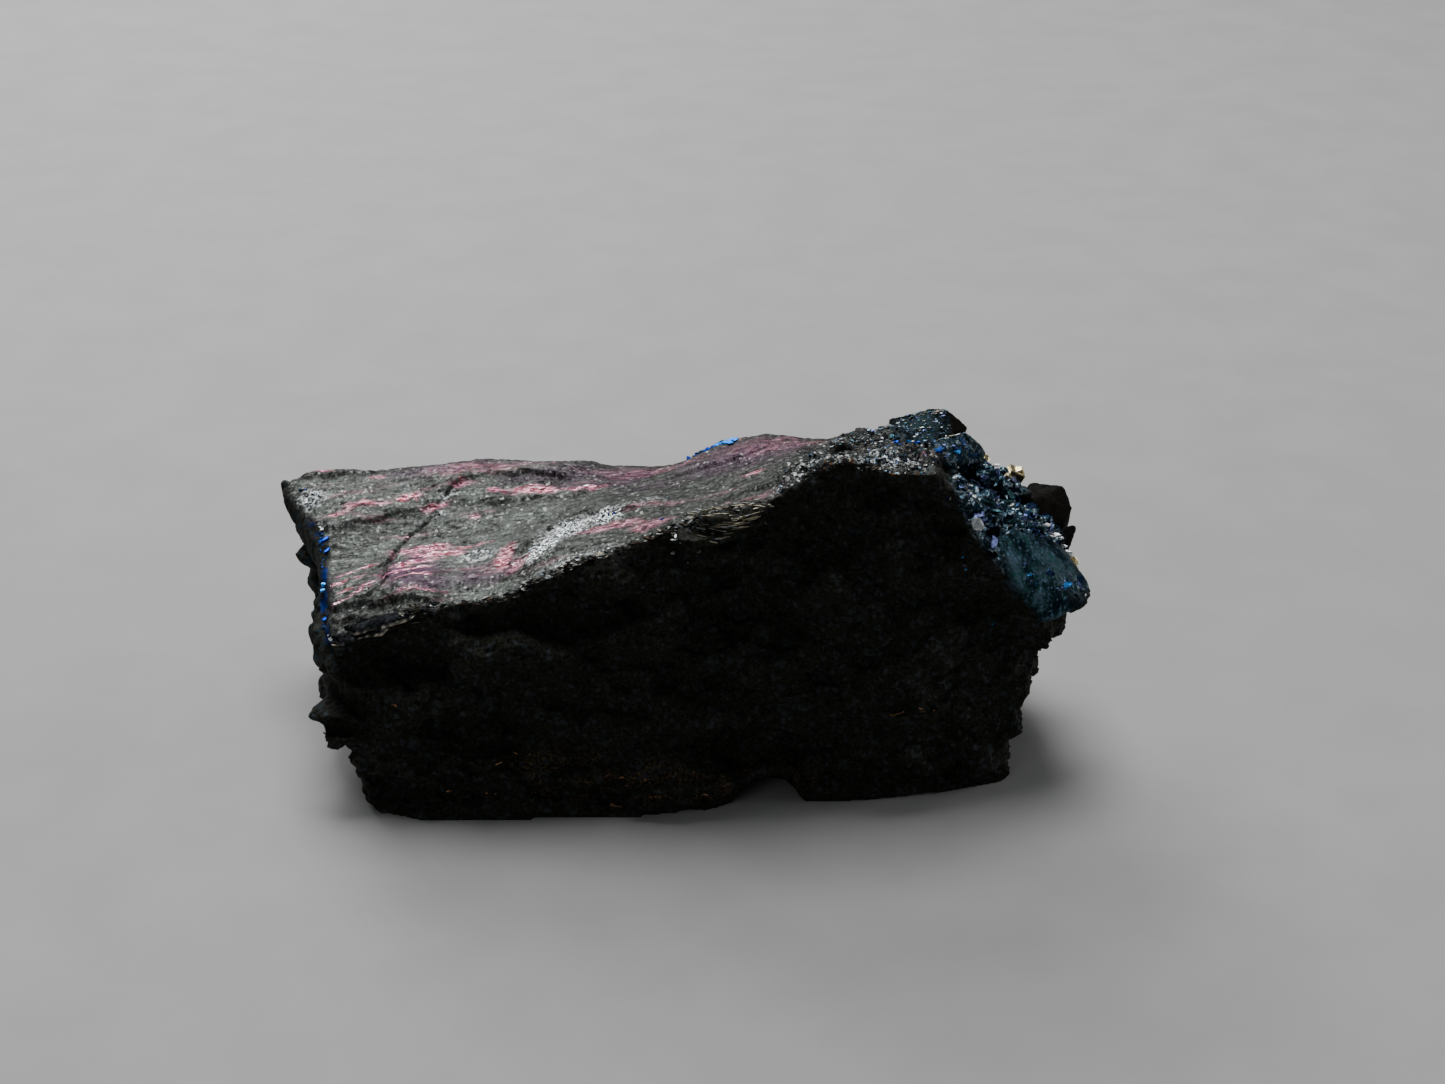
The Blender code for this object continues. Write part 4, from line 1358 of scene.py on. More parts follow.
@dataclass(frozen=True)
class Chip:
    """One small flat crystal or splinter, in drawing millimetres.

    Attributes:
        at: Its middle.
        up: The way its broad face looks.
        along: The way its length runs.
        size: Its length, width and thickness.
        film: Its colour.
        sides: How many sides its outline has.
    """

    at: Vector
    up: Vector
    along: Vector
    size: Point
    film: Colour
    sides: int = 6

    def add_to(self, bm: bmesh.types.BMesh, tint: bmesh.types.BMLayerItem, rolls: Random) -> None:
        """Adds the chip to a mesh.

        Args:
            bm: The mesh.
            tint: Its colour layer at the points.
            rolls: Where its ragged outline comes from.
        """
        across = self.up.cross(self.along).normalized()
        turn = Matrix((across.cross(self.up), across, self.up)).transposed()
        length, width, thickness = self.size
        outline = []
        for i in range(self.sides):
            angle = math.tau * (i + rolls.uniform(-0.25, 0.25)) / self.sides
            reach = rolls.uniform(0.40, 0.54)
            outline.append(Vector((length * reach * math.cos(angle), width * reach * math.sin(angle), 0)))
        rings = []
        for height, shrink in ((-0.5, 0.86), (0.28, 1.0), (0.5, 0.90)):
            ring = []
            for corner in outline:
                vert = bm.verts.new(self.at + turn @ (shrink * corner + Vector((0, 0, height * thickness))))
                vert[tint] = (*self.film, 1.0)
                ring.append(vert)
            rings.append(ring)
        for low, high in zip(rings, rings[1:]):
            for i in range(self.sides):
                after = (i + 1) % self.sides
                bm.faces.new((low[i], low[after], high[after], high[i]))
        bm.faces.new(rings[-1])
        bm.faces.new(rings[0][::-1])


@dataclass(frozen=True)
class ChipKind:
    """What a group of chips is like.

    Attributes:
        lengths: The smallest and largest length, in millimetres.
        width: The width as a share of the length.
        thickness: The thickness as a share of the length.
        films: How common each colour is.
        lean: How far the chips lean away from the surface.
        flat: How much they lie level rather than on the surface.
        turn: How far their length may turn away from the given direction, in radians.
        sink: How deep they sit, as a share of their length.
        count_power: How much more common the small ones are.
    """

    lengths: tuple[float, float]
    width: float
    thickness: float
    films: dict[Film, float]
    lean: float = 0.5
    flat: float = 0.0
    turn: float = math.pi
    sink: float = 0.1
    count_power: float = 2.0


@dataclass
class ChipField:
    """Many chips set on the slab's skin, as one piece.

    Attributes:
        name: The piece's name.
        skin: The slab's skin.
        finish: The chips' material.
        seed: Where their places come from.
    """

    name: str
    skin: SlabSkin
    finish: bpy.types.Material
    seed: int

    def __post_init__(self) -> None:
        """Gets the skin ready for finding places on it."""
        self.rolls = Random(self.seed)
        self.chips: list[Chip] = []
        self.facing = self.skin.normals()
        self.tree = BVHTree.FromPolygons(self.skin.points.tolist(), self.skin.faces.tolist())

    def jitter(self, reach: float) -> Vector:
        """A random step."""
        return reach * Vector([self.rolls.uniform(-1, 1) for _ in range(3)])

    def set_chip(self, at: Vector, facing: Vector, along: Vector, kind: ChipKind) -> None:
        """Sets one chip.

        Args:
            at: Its place on the skin.
            facing: The way the skin faces there.
            along: The way its length should run.
            kind: What it is like.
        """
        rolls = self.rolls
        length = kind.lengths[0] + (kind.lengths[1] - kind.lengths[0]) * rolls.random() ** kind.count_power
        up = (facing.lerp(Vector((-0.1, 0.0, 1.0)), kind.flat) + self.jitter(kind.lean)).normalized()
        run = Matrix.Rotation(rolls.uniform(-kind.turn, kind.turn), 3, up) @ along
        if abs(run.normalized().dot(up)) > 0.95:
            run = up.orthogonal()
        film = rolls.choices(list(kind.films), list(kind.films.values()))[0]
        depth = rolls.uniform(0.65, 1.15)
        width = length * kind.width * rolls.uniform(0.7, 1.3)
        size = (length, width, length * kind.thickness * rolls.uniform(0.7, 1.3))
        colour = tuple(min(1.0, depth * part) for part in film.value)
        sides = rolls.choice((5, 6, 6, 7))
        self.chips.append(Chip(at - kind.sink * length * facing, up, run, size, colour, sides))

    def scatter(self, mask: np.ndarray, count: int, kind: ChipKind) -> None:
        """Sets chips at random places of a region.

        Args:
            mask: How likely each point of the skin is to be chosen.
            count: How many chips.
            kind: What they are like.
        """
        chance = np.cumsum(mask) / mask.sum()
        for _ in range(count):
            index = int(np.searchsorted(chance, self.rolls.random()))
            at, facing = Vector(self.skin.points[index]), Vector(self.facing[index])
            self.set_chip(at, facing, Vector((1, 0, 0)), kind)

    def set_row(self, path: tuple[Point, ...], pitch: float, spread: float, kind: ChipKind) -> None:
        """Sets chips along a line on the skin.

        Args:
            path: The line's corner points, in drawing millimetres.
            pitch: The usual distance between chips.
            spread: How far from the line they may lie.
            kind: What they are like.
        """
        for start, end in zip(path, path[1:]):
            run = Vector(end) - Vector(start)
            count = max(1, round(run.length / pitch))
            for i in range(count):
                wanted = Vector(start) + run * (i + self.rolls.uniform(0, 1)) / count + self.jitter(spread)
                at, facing, _, _ = self.tree.find_nearest(wanted)
                self.set_chip(at, facing, run.normalized(), kind)

    def build(self) -> bpy.types.Object:
        """Makes the piece from its chips and dresses it.

        Returns:
            The finished piece.
        """
        bm = bmesh.new()
        tint = bm.verts.layers.float_color.new("film")
        for chip in self.chips:
            chip.add_to(bm, tint, self.rolls)
        return film_piece(self.name, bm, self.finish)


def film_piece(name: str, bm: bmesh.types.BMesh, finish: bpy.types.Material) -> bpy.types.Object:
    """Turns a drawing in millimetres into a finished covellite piece.

    Args:
        name: The piece's name.
        bm: Its mesh, which is used up.
        finish: Its material.

    Returns:
        The finished piece.
    """
    for vert in bm.verts:
        vert.co.z = max(vert.co.z, CLOSE_TO_FLOOR)
    bm.transform(Matrix.Scale(MM, 4) @ Matrix.Translation(DRAWING_MOVE))
    mesh = bpy.data.meshes.new(name)
    bm.to_mesh(mesh)
    bm.free()
    mesh.materials.append(finish)
    obj = bpy.data.objects.new(name, mesh)
    bpy.context.scene.collection.objects.link(obj)
    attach(obj, "root")
    return obj


@dataclass(frozen=True)
class TornSheet:
    """A thin curled sheet that lifts off the slab, in drawing millimetres.

    Attributes:
        at: Its middle.
        size: Its length along the slab and its width out of it.
        turn: Its turns about the three axes, in degrees.
        curl: How far its free edge bends down.
        film: The colour of its face.
        thickness: Its thickness where it is attached.
    """

    at: Point
    size: tuple[float, float]
    turn: Point
    curl: float
    film: Film
    thickness: float = 0.045
    STEPS = (46, 9)

    def add_to(self, bm: bmesh.types.BMesh, tint: bmesh.types.BMLayerItem) -> None:
        """Adds the sheet to a mesh, with a ragged free edge and pale broken edges.

        Args:
            bm: The mesh.
            tint: Its colour layer at the points.
        """
        place = Matrix.Translation(self.at) @ Euler([math.radians(a) for a in self.turn]).to_matrix().to_4x4()
        columns, rows = self.STEPS
        layers = []
        for side in (1, -1):
            grid = []
            for i in range(columns + 1):
                along = i / columns
                seed = Vector((along * self.size[0] * 2.2, self.at[0] * 3.1, self.at[2] * 5.7))
                ragged = 1 + 0.22 * noise.noise(seed * 0.6) + 0.07 * noise.noise(seed * 2.6)
                reach = self.size[1] * ragged * (ease(0.0, 0.14, along) * ease(1.0, 0.80, along) * 0.8 + 0.2)
                line = []
                for j in range(rows + 1):
                    out = j / rows
                    wave = 0.06 * noise.noise(Vector((along * 2.4, out, self.at[2] * 3.3)))
                    drop = -self.curl * out ** 2 + wave + side * self.thickness * (1 - 0.6 * out) / 2
                    vert = bm.verts.new(place @ Vector(((along - 0.5) * self.size[0], -reach * out, drop)))
                    pale = ease(0.80, 1.0, out) * ease(-0.25, 0.25, noise.noise(seed * 1.7))
                    film = Vector(self.film.value).lerp(Vector(Film.BEIGE.value), pale)
                    vert[tint] = (*film, 1.0)
                    line.append(vert)
                grid.append(line)
            layers.append(grid)
        upper, lower = layers
        for i in range(columns):
            for j in range(rows):
                bm.faces.new((upper[i][j], upper[i][j + 1], upper[i + 1][j + 1], upper[i + 1][j]))
                bm.faces.new((lower[i][j], lower[i + 1][j], lower[i + 1][j + 1], lower[i][j + 1]))
        rim = [(i, rows) for i in range(columns + 1)]
        rim = [(0, j) for j in range(rows)] + rim + [(columns, j) for j in reversed(range(rows))]
        for (i, j), (k, m) in zip(rim, rim[1:] + rim[:1]):
            bm.faces.new((upper[i][j], lower[i][j], lower[k][m], upper[k][m]))


LIP_SHEETS = (
    TornSheet((-10.6, -4.50, 7.20), (2.8, 0.50), (10, -16, 3), 0.10, Film.BLACK),
    TornSheet((-11.3, -4.70, 6.82), (2.2, 0.45), (10, -18, -3), 0.10, Film.BLACK),
)
LIP_THREADS = (
    ((-0.3, -4.05, 10.95), (0.7, -4.60, 11.38), (1.5, -4.70, 11.46), (2.1, -5.0, 11.46)),
    ((-0.2, -4.70, 10.95), (0.25, -5.20, 11.18), (1.2, -5.45, 11.43), (1.9, -5.2, 11.44)),
    ((-0.1, -5.00, 10.95), (0.30, -5.30, 11.08), (1.18, -5.58, 11.34), (2.0, -5.3, 11.30)),
    ((0.05, -5.00, 10.80), (0.5, -5.30, 10.95), (1.1, -5.55, 11.15), (1.8, -5.4, 11.20)),
    ((0.0, -4.90, 10.60), (0.45, -5.20, 10.68), (1.0, -5.55, 11.00), (1.5, -5.5, 11.05)),
    ((0.0, -5.30, 10.52), (0.5, -5.60, 10.60), (1.0, -5.60, 10.82)),
)


@dataclass
class PyriteGrain:
    """A pyrite grain: small cubes with cut corners, grown through each other.

    Attributes:
        solid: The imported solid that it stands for.
        finish: The pyrite material.
        cubes: How many cubes grow together.
    """

    solid: bpy.types.Object
    finish: bpy.types.Material
    cubes: int = 5

    def build(self) -> bpy.types.Object:
        """Makes the grain in the place of its solid.

        Returns:
            The finished piece.
        """
        low, high = (Vector(corner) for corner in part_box(self.solid.name))
        middle = (low + high) / 2
        reach = min(high - low) / 2
        rolls = Random(self.solid.name)
        bm = bmesh.new()
        for i in range(self.cubes):
            size = reach * (1.15 if i == 0 else rolls.uniform(0.6, 0.9))
            made = bmesh.ops.create_cube(bm, size=size)
            edges = list({edge for vert in made["verts"] for edge in vert.link_edges})
            made = bmesh.ops.bevel(
                bm, geom=edges, offset=0.06 * size, segments=2, affect="EDGES", profile=0.6
            )
            turn = Euler((0.35 * i, 0.5 + 0.2 * i, rolls.uniform(-0.5, 0.5))).to_matrix().to_4x4()
            away = Vector([rolls.uniform(-1, 1) for _ in range(3)]).normalized()
            away *= 0.0 if i == 0 else 0.42 * reach
            verts = list({vert for face in made["faces"] for vert in face.verts})
            bmesh.ops.transform(bm, matrix=Matrix.Translation(middle + away) @ turn, verts=verts)
        mesh = bpy.data.meshes.new(f"{self.solid.name}_crystals")
        bm.to_mesh(mesh)
        bm.free()
        mesh.materials.append(self.finish)
        obj = bpy.data.objects.new(f"{self.solid.name}_crystals", mesh)
        bpy.context.scene.collection.objects.link(obj)
        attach(obj, "root")
        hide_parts(self.solid.name)
        return obj


@dataclass(frozen=True)
class Studio:
    """A plain pale floor, soft light mostly from behind, and the camera.

    Attributes:
        view_angle: The camera's width of view, in degrees.
        pitch: How far it looks down, in degrees.
        camera_at: Where it is, in drawing millimetres.
    """

    view_angle: float = 34.0
    pitch: float = 27.0
    camera_at: Point = (0.7785, -74.0331, 45.4169)

    def floor(self) -> None:
        """Lays the floor."""
        bpy.ops.mesh.primitive_plane_add(size=3.0)
        plane = bpy.context.object
        plane.name = "floor"
        material, board, shader = new_finish("pale floor")
        spots = board.add("ShaderNodeTexNoise", in_0=board.place(), Scale=0.25, Detail=3.0)
        tone = board.blend(
            board.spread(spots.outputs["Fac"], 0.3, 0.7), (0.325, 0.330, 0.324), (0.350, 0.354, 0.347)
        )
        board.tree.links.new(tone, shader.inputs["Base Color"])
        shader.inputs["Roughness"].default_value = 0.7
        plane.data.materials.append(material)

    def panel(self, name: str, at: Point, size: float, power: float, aim: Point = (0, 0, 6)) -> None:
        """Hangs one soft light, in drawing millimetres, aimed at a point.

        Args:
            name: The light's name.
            at: Where it hangs.
            size: The length of its sides.
            power: Its power, in watts.
            aim: The point that it faces.
        """
        data = bpy.data.lights.new(name, "AREA")
        data.size = size * MM
        data.energy = power
        lamp = bpy.data.objects.new(name, data)
        lamp.location = Vector(at) * MM
        lamp.rotation_euler = (Vector(at) - Vector(aim)).to_track_quat("Z", "Y").to_euler()
        bpy.context.scene.collection.objects.link(lamp)

    def light(self) -> None:
        """Hangs the lights and sets a dim room around them."""
        self.panel("back panel", (-80, 190, 150), 150, 0.50)
        self.panel("top panel", (-10, 60, 250), 120, 0.50)
        self.panel("side panel", (220, 30, 90), 110, 0.12)
        self.panel("front fill", (-120, -200, 100), 120, 0.045)
        world = bpy.data.worlds.new("room")
        world.use_nodes = True
        world.node_tree.nodes["Background"].inputs["Color"].default_value = (0.62, 0.64, 0.66, 1)
        world.node_tree.nodes["Background"].inputs["Strength"].default_value = 0.15
        bpy.context.scene.world = world

    def camera(self) -> None:
        """Sets up the camera at the photograph's angle."""
        data = bpy.data.cameras.new("camera")
        data.sensor_fit = "HORIZONTAL"
        data.angle = math.radians(self.view_angle)
        data.clip_start = 0.001
        camera = bpy.data.objects.new("camera", data)
        camera.location = (Vector(self.camera_at) + DRAWING_MOVE) * MM
        camera.rotation_euler = (math.radians(90 - self.pitch), 0, 0)
        bpy.context.scene.collection.objects.link(camera)
        bpy.context.scene.camera = camera


@dataclass
class Trimmings:
    """The small crystals, glints, splinters and thin sheets that sit on the slab.

    Attributes:
        skin: The slab's finished skin.
        shelf: The shader groups.
    """

    skin: SlabSkin
    shelf: EffectShelf

    def build(self) -> list[bpy.types.Object]:
        """Makes all of them.

        Returns:
            The finished pieces.
        """
        bright = ChipFinish("crystal faces", 0.24, 0.35).make(self.shelf)
        glint = ChipFinish("bright facets", 0.28, 0.10, 0.9).make(self.shelf)
        satin = ChipFinish("torn sheet edges", 0.40, 0.45).make(self.shelf)
        return [
            self.end_crystals(bright),
            self.edge_glints(glint),
            self.lip_splinters(satin),
            self.side_glints(satin),
            self.lip_sheets(satin),
        ]

    def end_crystals(self, finish: bpy.types.Material) -> bpy.types.Object:
        """Sets the small plates that crust the right end.

        Args:
            finish: The piece's material.

        Returns:
            The finished piece.
        """
        crust = ChipField("end_crystals", self.skin, finish, 11)
        x, y, z = self.skin.points.T
        regions = self.skin.regions
        bare = regions["crust"] * (1 - regions["flat"])
        dark = {Film.BLACK: 3, Film.DEEP_BLUE: 6, Film.TEAL: 4, Film.STEEL: 5, Film.LILAC: 5, Film.SILVER: 1}
        light = {Film.SILVER: 3, Film.STEEL: 6, Film.LILAC: 4, Film.TEAL: 4, Film.DEEP_BLUE: 2, Film.BLACK: 1}
        crust.scatter(bare, 620, ChipKind((0.16, 0.60), 0.75, 0.24, dark, lean=0.55))
        small = ChipKind((0.08, 0.28), 0.75, 0.26, light, lean=0.5, flat=0.45)
        crust.scatter(bare * smooth(0.4, -1.0, y) * smooth(8.4, 9.4, z), 240, small)
        pales = {Film.SILVER: 3, Film.ASH: 4, Film.LILAC: 2}
        pale = ChipKind((0.10, 0.34), 0.6, 0.22, pales, lean=0.35, flat=0.8, sink=0.0)
        crust.scatter(bare * smooth(0.9, 0.3, np.hypot(x - 11.2, z - 9.0)) * smooth(1.8, 0.6, y), 60, pale)
        crust.scatter(bare * smooth(0.8, 0.2, np.hypot(x - 8.9, z - 11.2)) * smooth(-1.0, -2.0, y), 70, pale)
        bluish = {Film.DEEP_BLUE: 6, Film.LILAC: 1, Film.TEAL: 3, Film.BLACK: 4}
        band = ChipKind((0.12, 0.40), 0.8, 0.2, bluish, lean=0.3)
        crust.scatter(regions["crust"] * (z > 11) * (y > -2.4), 90, band)
        blades = {Film.TEAL: 4, Film.STEEL: 3, Film.LILAC: 2, Film.DEEP_BLUE: 3, Film.ASH: 1}
        blade = ChipKind((0.35, 0.85), 0.4, 0.12, blades, lean=0.25, flat=0.5, turn=0.35, sink=-0.02)
        for path in (
            ((8.2, -3.6, 11.7), (8.9, -3.6, 10.6), (9.9, -3.4, 9.8)),
            ((8.7, -3.0, 11.6), (9.4, -2.9, 10.6), (10.6, -2.6, 9.8), (11.6, -1.9, 9.2)),
            ((9.3, -2.1, 11.2), (10.3, -1.6, 10.2), (11.4, -1.2, 9.4)),
        ):
            crust.set_row(path, 0.16, 0.22, blade)
        plates = {Film.BLACK: 7, Film.TEAL: 2, Film.DEEP_BLUE: 3, Film.STEEL: 1, Film.SILVER: 1}
        plate = ChipKind((0.10, 0.36), 0.5, 0.12, plates, lean=0.22, flat=0.3, turn=0.6)
        peak = PEAK_FACE.cover(self.skin.points)
        crust.scatter(peak, 150, plate)
        flecks = {Film.SILVER: 3, Film.LILAC: 2, Film.STEEL: 2, Film.ASH: 2}
        upper = peak * smooth(11.6, 12.3, z)
        fleck = ChipKind((0.06, 0.20), 0.4, 0.15, flecks, lean=0.15, flat=0.7, turn=0.5, sink=0.0)
        crust.scatter(upper, 90, fleck)
        knob = ChipKind((0.10, 0.36), 0.6, 0.12, bluish, lean=0.22)
        crust.scatter(KNOB_FACE.cover(self.skin.points), 40, knob)
        end = ChipKind((0.08, 0.26), 0.75, 0.26, dark | {Film.STEEL: 5}, lean=0.4, flat=0.4)
        crust.scatter(regions["cleavage"] * smooth(5.0, 6.6, x), 240, end)
        return crust.build()

    def edge_glints(self, finish: bpy.types.Material) -> bpy.types.Object:
        """Sets electric blue and white glints on edges that catch the light.

        Args:
            finish: The piece's material.

        Returns:
            The finished piece.
        """
        edge = ChipField("edge_glints", self.skin, finish, 23)
        level = {"flat": 1.0, "sink": -0.05, "count_power": 1.0}
        sky = ChipKind((0.12, 0.30), 0.7, 0.3, {Film.SKY: 1}, lean=0.10, **level)
        blues = {Film.BLUE: 6, Film.DEEP_BLUE: 2, Film.SKY: 1}
        blue = ChipKind((0.14, 0.42), 0.5, 0.3, blues, lean=0.25, **level)
        navy = ChipKind((0.10, 0.26), 0.6, 0.3, {Film.BLUE: 2, Film.DEEP_BLUE: 6}, lean=0.5, sink=0.0)
        white = ChipKind((0.08, 0.20), 0.6, 0.3, {Film.SILVER: 1}, lean=0.12, **level)
        edge.set_row(
            ((-13.7, 1.3, 7.5), (-13.5, 0.9, 7.4), (-13.3, 0.0, 7.1), (-13.2, -0.8, 6.9)), 0.20, 0.05, navy
        )
        edge.set_row(((-13.55, 1.2, 7.6), (-13.35, 0.7, 7.5), (-13.15, 0.0, 7.25)), 0.24, 0.03, blue)
        edge.set_row(((-13.15, -1.50, 6.85), (-13.1, -1.80, 6.72)), 0.06, 0.05, sky)
        edge.set_row(((-13.1, -2.3, 6.6), (-12.95, -2.9, 6.4)), 0.24, 0.05, navy)
        edge.set_row(((-12.9, -3.1, 6.35), (-12.8, -3.5, 6.1)), 0.24, 0.04, blue)
        edge.set_row(((-13.65, 1.45, 7.65), (-13.5, 1.1, 7.6)), 0.08, 0.04, white)
        edge.set_row(((-12.65, -4.0, 6.15), (-12.40, -4.35, 6.20)), 0.08, 0.07, white)
        edge.set_row(((-14.7, 3.6, 8.0), (-14.2, 3.4, 7.95)), 0.14, 0.05, navy)
        edge.set_row(((-0.5, 3.85, 9.35), (0.3, 3.85, 9.65), (0.9, 3.8, 9.9)), 0.08, 0.06, blue)
        wide = ChipKind((0.20, 0.32), 0.8, 0.15, {Film.GLOW: 1}, lean=0.06, flat=1.0, sink=-0.12, turn=0.3)
        edge.set_row(((0.45, 3.74, 9.86), (1.30, 3.62, 10.12)), 0.035, 0.10, wide)
        edge.set_row(((0.80, 3.35, 10.05), (1.25, 3.30, 10.20)), 0.06, 0.06, wide)
        edge.set_row(((0.90, 3.10, 10.10), (1.15, 3.05, 10.20)), 0.06, 0.05, wide)
        edge.set_row(((12.35, -2.80, 7.42), (12.75, -2.45, 7.38)), 0.05, 0.07, sky)
        lilacs = {Film.LILAC: 4, Film.SKY: 1, Film.TEAL: 2}
        lilac = ChipKind((0.08, 0.20), 0.7, 0.3, lilacs, lean=0.2, **level)
        edge.set_row(((12.1, -2.9, 7.45), (12.4, -2.75, 7.4), (12.8, -2.4, 7.35)), 0.05, 0.13, lilac)
        edge.set_row(((10.4, -3.3, 9.0), (11.2, -3.3, 7.9), (11.8, -3.2, 7.0)), 0.35, 0.10, lilac)
        edge.set_row(((8.65, -1.40, 11.85), (8.80, -1.30, 11.82)), 0.05, 0.05, sky)
        edge.set_row(((7.95, -2.5, 12.35), (8.2, -1.95, 12.25)), 0.07, 0.10, blue)
        edge.set_row(((8.3, -1.8, 12.1), (9.0, -1.0, 11.8)), 0.10, 0.20, lilac)
        rims = {Film.SILVER: 2, Film.BEIGE: 2, Film.STEEL: 2, Film.BLACK: 1}
        rim = ChipKind((0.12, 0.34), 0.22, 0.12, rims, lean=0.10, flat=1.0, turn=0.2, sink=0.0)
        edge.set_row(((7.94, -1.15, 12.15), (8.5, -0.95, 12.22), (9.15, -0.6, 12.25)), 0.09, 0.05, rim)
        edge.set_row(
            ((6.0, 0.35, 12.2), (6.9, 0.45, 12.4), (8.0, 0.45, 12.65), (8.5, 0.35, 12.7)), 0.09, 0.04, rim
        )
        edge.set_row(((6.5, -1.6, 12.55), (7.0, -1.3, 12.4), (7.4, -1.1, 12.2)), 0.10, 0.10, blue)
        edge.set_row(((-3.4, -1.9, 9.65), (-2.9, -1.9, 9.75)), 0.12, 0.08, navy)
        edge.set_row(((-1.3, -3.5, 10.35), (-1.1, -3.5, 10.4)), 0.09, 0.05, navy)
        edge.set_row(((8.7, -4.4, 9.3), (8.9, -4.4, 8.8)), 0.2, 0.10, lilac)
        edge.set_row(((9.66, -2.94, 6.75), (9.9, -3.2, 6.35), (10.3, -2.75, 5.6)), 0.6, 0.05, lilac)
        gleam = ChipKind((0.20, 0.40), 0.5, 0.2, {Film.WHITE: 1}, lean=0.10, flat=1.0, sink=-0.45, turn=0.5)
        edge.set_row(((11.95, -0.5, 8.65), (12.4, -0.65, 8.35), (12.75, -0.7, 8.0)), 0.07, 0.05, gleam)
        edge.set_row(((12.85, -0.75, 7.75), (13.0, -0.8, 7.65)), 0.04, 0.05, gleam)
        edge.set_row(((10.3, -0.4, 11.1), (10.5, -0.4, 11.0)), 0.07, 0.05, gleam)
        x = self.skin.points[:, 0]
        regions = self.skin.regions
        # White chips on the bosses, where the stain also paints highlight.
        boss = regions["silver"] ** 2 * smooth(-2.4, -3.0, x) * smooth(-7.0, -6.0, x)
        whites = {Film.WHITE: 3, Film.SILVER: 2}
        edge.scatter(boss, 230, ChipKind((0.05, 0.15), 0.6, 0.3, whites, lean=0.16, flat=0.7, sink=0.0))
        pinks = {Film.PINK: 3, Film.WHITE: 1}
        blush = ChipKind((0.06, 0.22), 0.35, 0.12, pinks, lean=0.12, flat=0.6, turn=0.2, sink=0.0)
        edge.scatter(regions["rose"] ** 2 * smooth(-2.8, -3.6, x), 260, blush)
        return edge.build()

    def lip_splinters(self, finish: bpy.types.Material) -> bpy.types.Object:
        """Sets thin splinters along the lip and grains on the crest.

        Args:
            finish: The piece's material.

        Returns:
            The finished piece.
        """
        lip = ChipField("lip_splinters", self.skin, finish, 37)
        x, y, z = self.skin.points.T
        lip_y, lip_z = Rail.LIP.at(x)
        near_lip = smooth(0.40, 0.05, np.hypot(y - lip_y, z - lip_z)) * (x < 7.6) * (x > -12.2)
        films = {Film.ASH: 3, Film.BLACK: 6, Film.UMBER: 5, Film.BEIGE: 0.8, Film.SILVER: 0.2}
        splinter = ChipKind((0.10, 0.50), 0.34, 0.10, films, lean=0.30, flat=0.7, turn=0.7, sink=0.05)
        lip.scatter(near_lip, 700, splinter)
        grains = {
            Film.ASH: 7, Film.STEEL: 3, Film.SILVER: 4, Film.BLACK: 5, Film.DEEP_BLUE: 0.8, Film.UMBER: 1
        }
        grain = ChipKind((0.06, 0.22), 0.6, 0.3, grains, lean=0.4, flat=0.5, turn=0.9)
        lip.scatter(self.skin.regions["crest"], 1300, grain)
        bosses = {Film.SILVER: 8, Film.STEEL: 2, Film.BLACK: 2}
        boss = ChipKind((0.05, 0.15), 0.6, 0.3, bosses, lean=0.3, flat=0.6)
        lip.scatter(self.skin.regions["silver"], 260, boss)
        tints = {Film.BRONZE: 4, Film.BEIGE: 4, Film.UMBER: 3}
        tinted = ChipKind((0.08, 0.28), 0.4, 0.15, tints, lean=0.3, flat=0.6)
        lip.set_row(((3.9, -4.6, 12.8), (5.2, -4.6, 12.95), (7.4, -4.5, 12.55)), 0.07, 0.20, tinted)
        lip.set_row(
            ((7.6, -4.1, 12.2), (7.75, -3.9, 10.9), (8.3, -3.85, 10.5), (8.9, -4.1, 10.0)), 0.16, 0.16, tinted
        )
        silvers = {Film.SILVER: 4, Film.BEIGE: 2, Film.BRONZE: 1}
        silvery = ChipKind((0.10, 0.32), 0.4, 0.15, silvers, lean=0.3, flat=0.8, sink=-0.5)
        lip.set_row(((-0.9, -5.0, 9.95), (-0.5, -5.2, 9.85), (-0.05, -5.3, 9.75)), 0.07, 0.14, silvery)
        films = {Film.STRAW: 5, Film.BEIGE: 3, Film.UMBER: 2, Film.SILVER: 1}
        thread = ChipKind(
            (0.3, 0.7), 0.06, 0.05, films, lean=0.06, flat=1.0, turn=0.03, sink=-0.05, count_power=1.0
        )
        for path in LIP_THREADS:
            lip.set_row(path, 0.11, 0.015, thread)
        return lip.build()

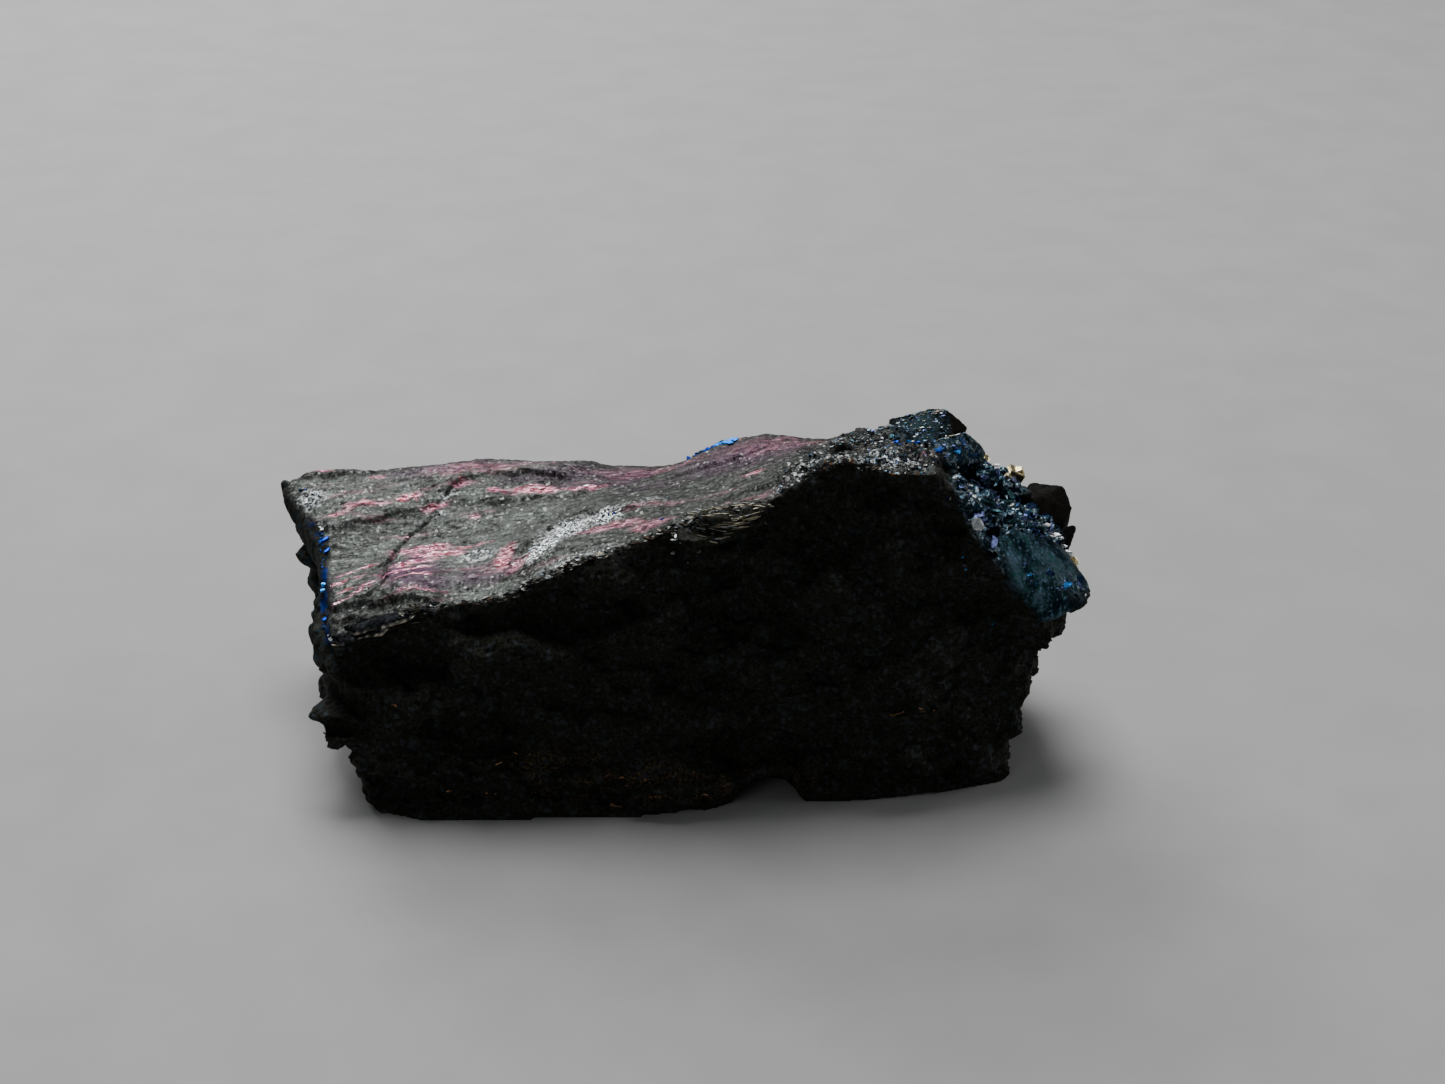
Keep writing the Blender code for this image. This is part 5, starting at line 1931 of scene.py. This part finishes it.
    def side_glints(self, finish: bpy.types.Material) -> bpy.types.Object:
        """Sets dark chips all over the broken sides, and the few pale lines and warm streaks of the front;
        the warm streaks low on the front also paint the floor's warm glow.

        Args:
            finish: The piece's material.

        Returns:
            The finished piece.
        """
        side = ChipField("side_glints", self.skin, finish, 53)
        z = self.skin.points[:, 2]
        regions = self.skin.regions
        sides = (1 - regions["cleavage"]) * (1 - regions["crust"]) * (1 - regions["flat"]) * (z > 0.4)
        films = {Film.BLACK: 12, Film.UMBER: 3, Film.DEEP_BLUE: 0.5}
        broken = ChipKind((0.10, 0.45), 0.6, 0.12, films, lean=0.5, flat=0.4, turn=0.8, sink=0.15)
        side.scatter(sides * (self.skin.points[:, 0] > -12.4), 820, broken)
        bluer = films | {Film.DEEP_BLUE: 2}
        small = ChipKind((0.06, 0.20), 0.6, 0.2, bluer, lean=0.4, flat=0.2, turn=0.8, sink=0.2)
        side.scatter(sides * (self.skin.points[:, 0] <= -12.4), 200, small)
        rusts = {Film.RUST: 3, Film.BRONZE: 2, Film.UMBER: 2}
        warm = ChipKind((0.2, 0.6), 0.22, 0.1, rusts, lean=0.3, turn=0.2)
        # The rows low on the front are warm streaks that also paint the floor's warm glow.
        for path in (
            ((-10.5, -5.3, 4.4), (-9.8, -5.6, 4.2)), ((-9.6, -5.6, 3.3), (-9.4, -5.5, 3.0)),
            ((-6.9, -5.7, 2.1), (-5.5, -5.5, 2.2)), ((-3.4, -5.8, 1.6), (0.0, -5.8, 1.5)),
            ((-8.8, -5.4, 0.9), (-4.5, -5.7, 0.7), (0.2, -5.8, 0.9)),
            ((6.2, -5.2, 3.9), (8.2, -4.9, 3.8)),
        ):
            side.set_row(path, 0.25, 0.12, warm)
        browns = {Film.BEIGE: 1, Film.UMBER: 3}
        thread = ChipKind((0.3, 0.7), 0.07, 0.06, browns, lean=0.2, turn=0.12, sink=0.0)
        for path in (
            ((-12.4, -4.9, 6.3), (-10.6, -5.0, 6.9), (-9.2, -5.0, 7.3)),
            ((-0.2, -5.3, 9.0), (0.8, -5.4, 8.6)),
            ((1.9, -5.1, 11.15), (2.4, -4.3, 10.4), (3.0, -3.9, 9.75), (3.9, -3.85, 9.45)),
        ):
            side.set_row(path, 0.30, 0.04, thread)
        return side.build()

    def lip_sheets(self, finish: bpy.types.Material) -> bpy.types.Object:
        """Makes the thin curled sheets at the lip.

        Args:
            finish: The piece's material.

        Returns:
            The finished piece.
        """
        bm = bmesh.new()
        tint = bm.verts.layers.float_color.new("film")
        for sheet in LIP_SHEETS:
            sheet.add_to(bm, tint)
        return film_piece("lip_sheets", bm, finish)


def main() -> None:
    """Builds the stage, the slab, its crystals and the pyrite grains."""
    logging.basicConfig(level=logging.INFO, format="%(message)s")
    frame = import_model()
    studio = Studio()
    studio.floor()
    studio.light()
    studio.camera()
    shelf = EffectShelf()
    skin = SlabSkin(frame["nodes"]["covellite_block"], CovelliteFinish().make(shelf))
    pieces = skin.build()
    pieces += Trimmings(skin, shelf).build()
    pyrite = PyriteFinish().make(shelf)
    for name, node in frame["nodes"].items():
        if name.startswith("pyrite"):
            pieces.append(PyriteGrain(node, pyrite).build())
    for piece in pieces:
        piece.data.calc_loop_triangles()
        log.info("%s: %d triangles", piece.name, len(piece.data.loop_triangles))


if __name__ == "__main__":
    main()
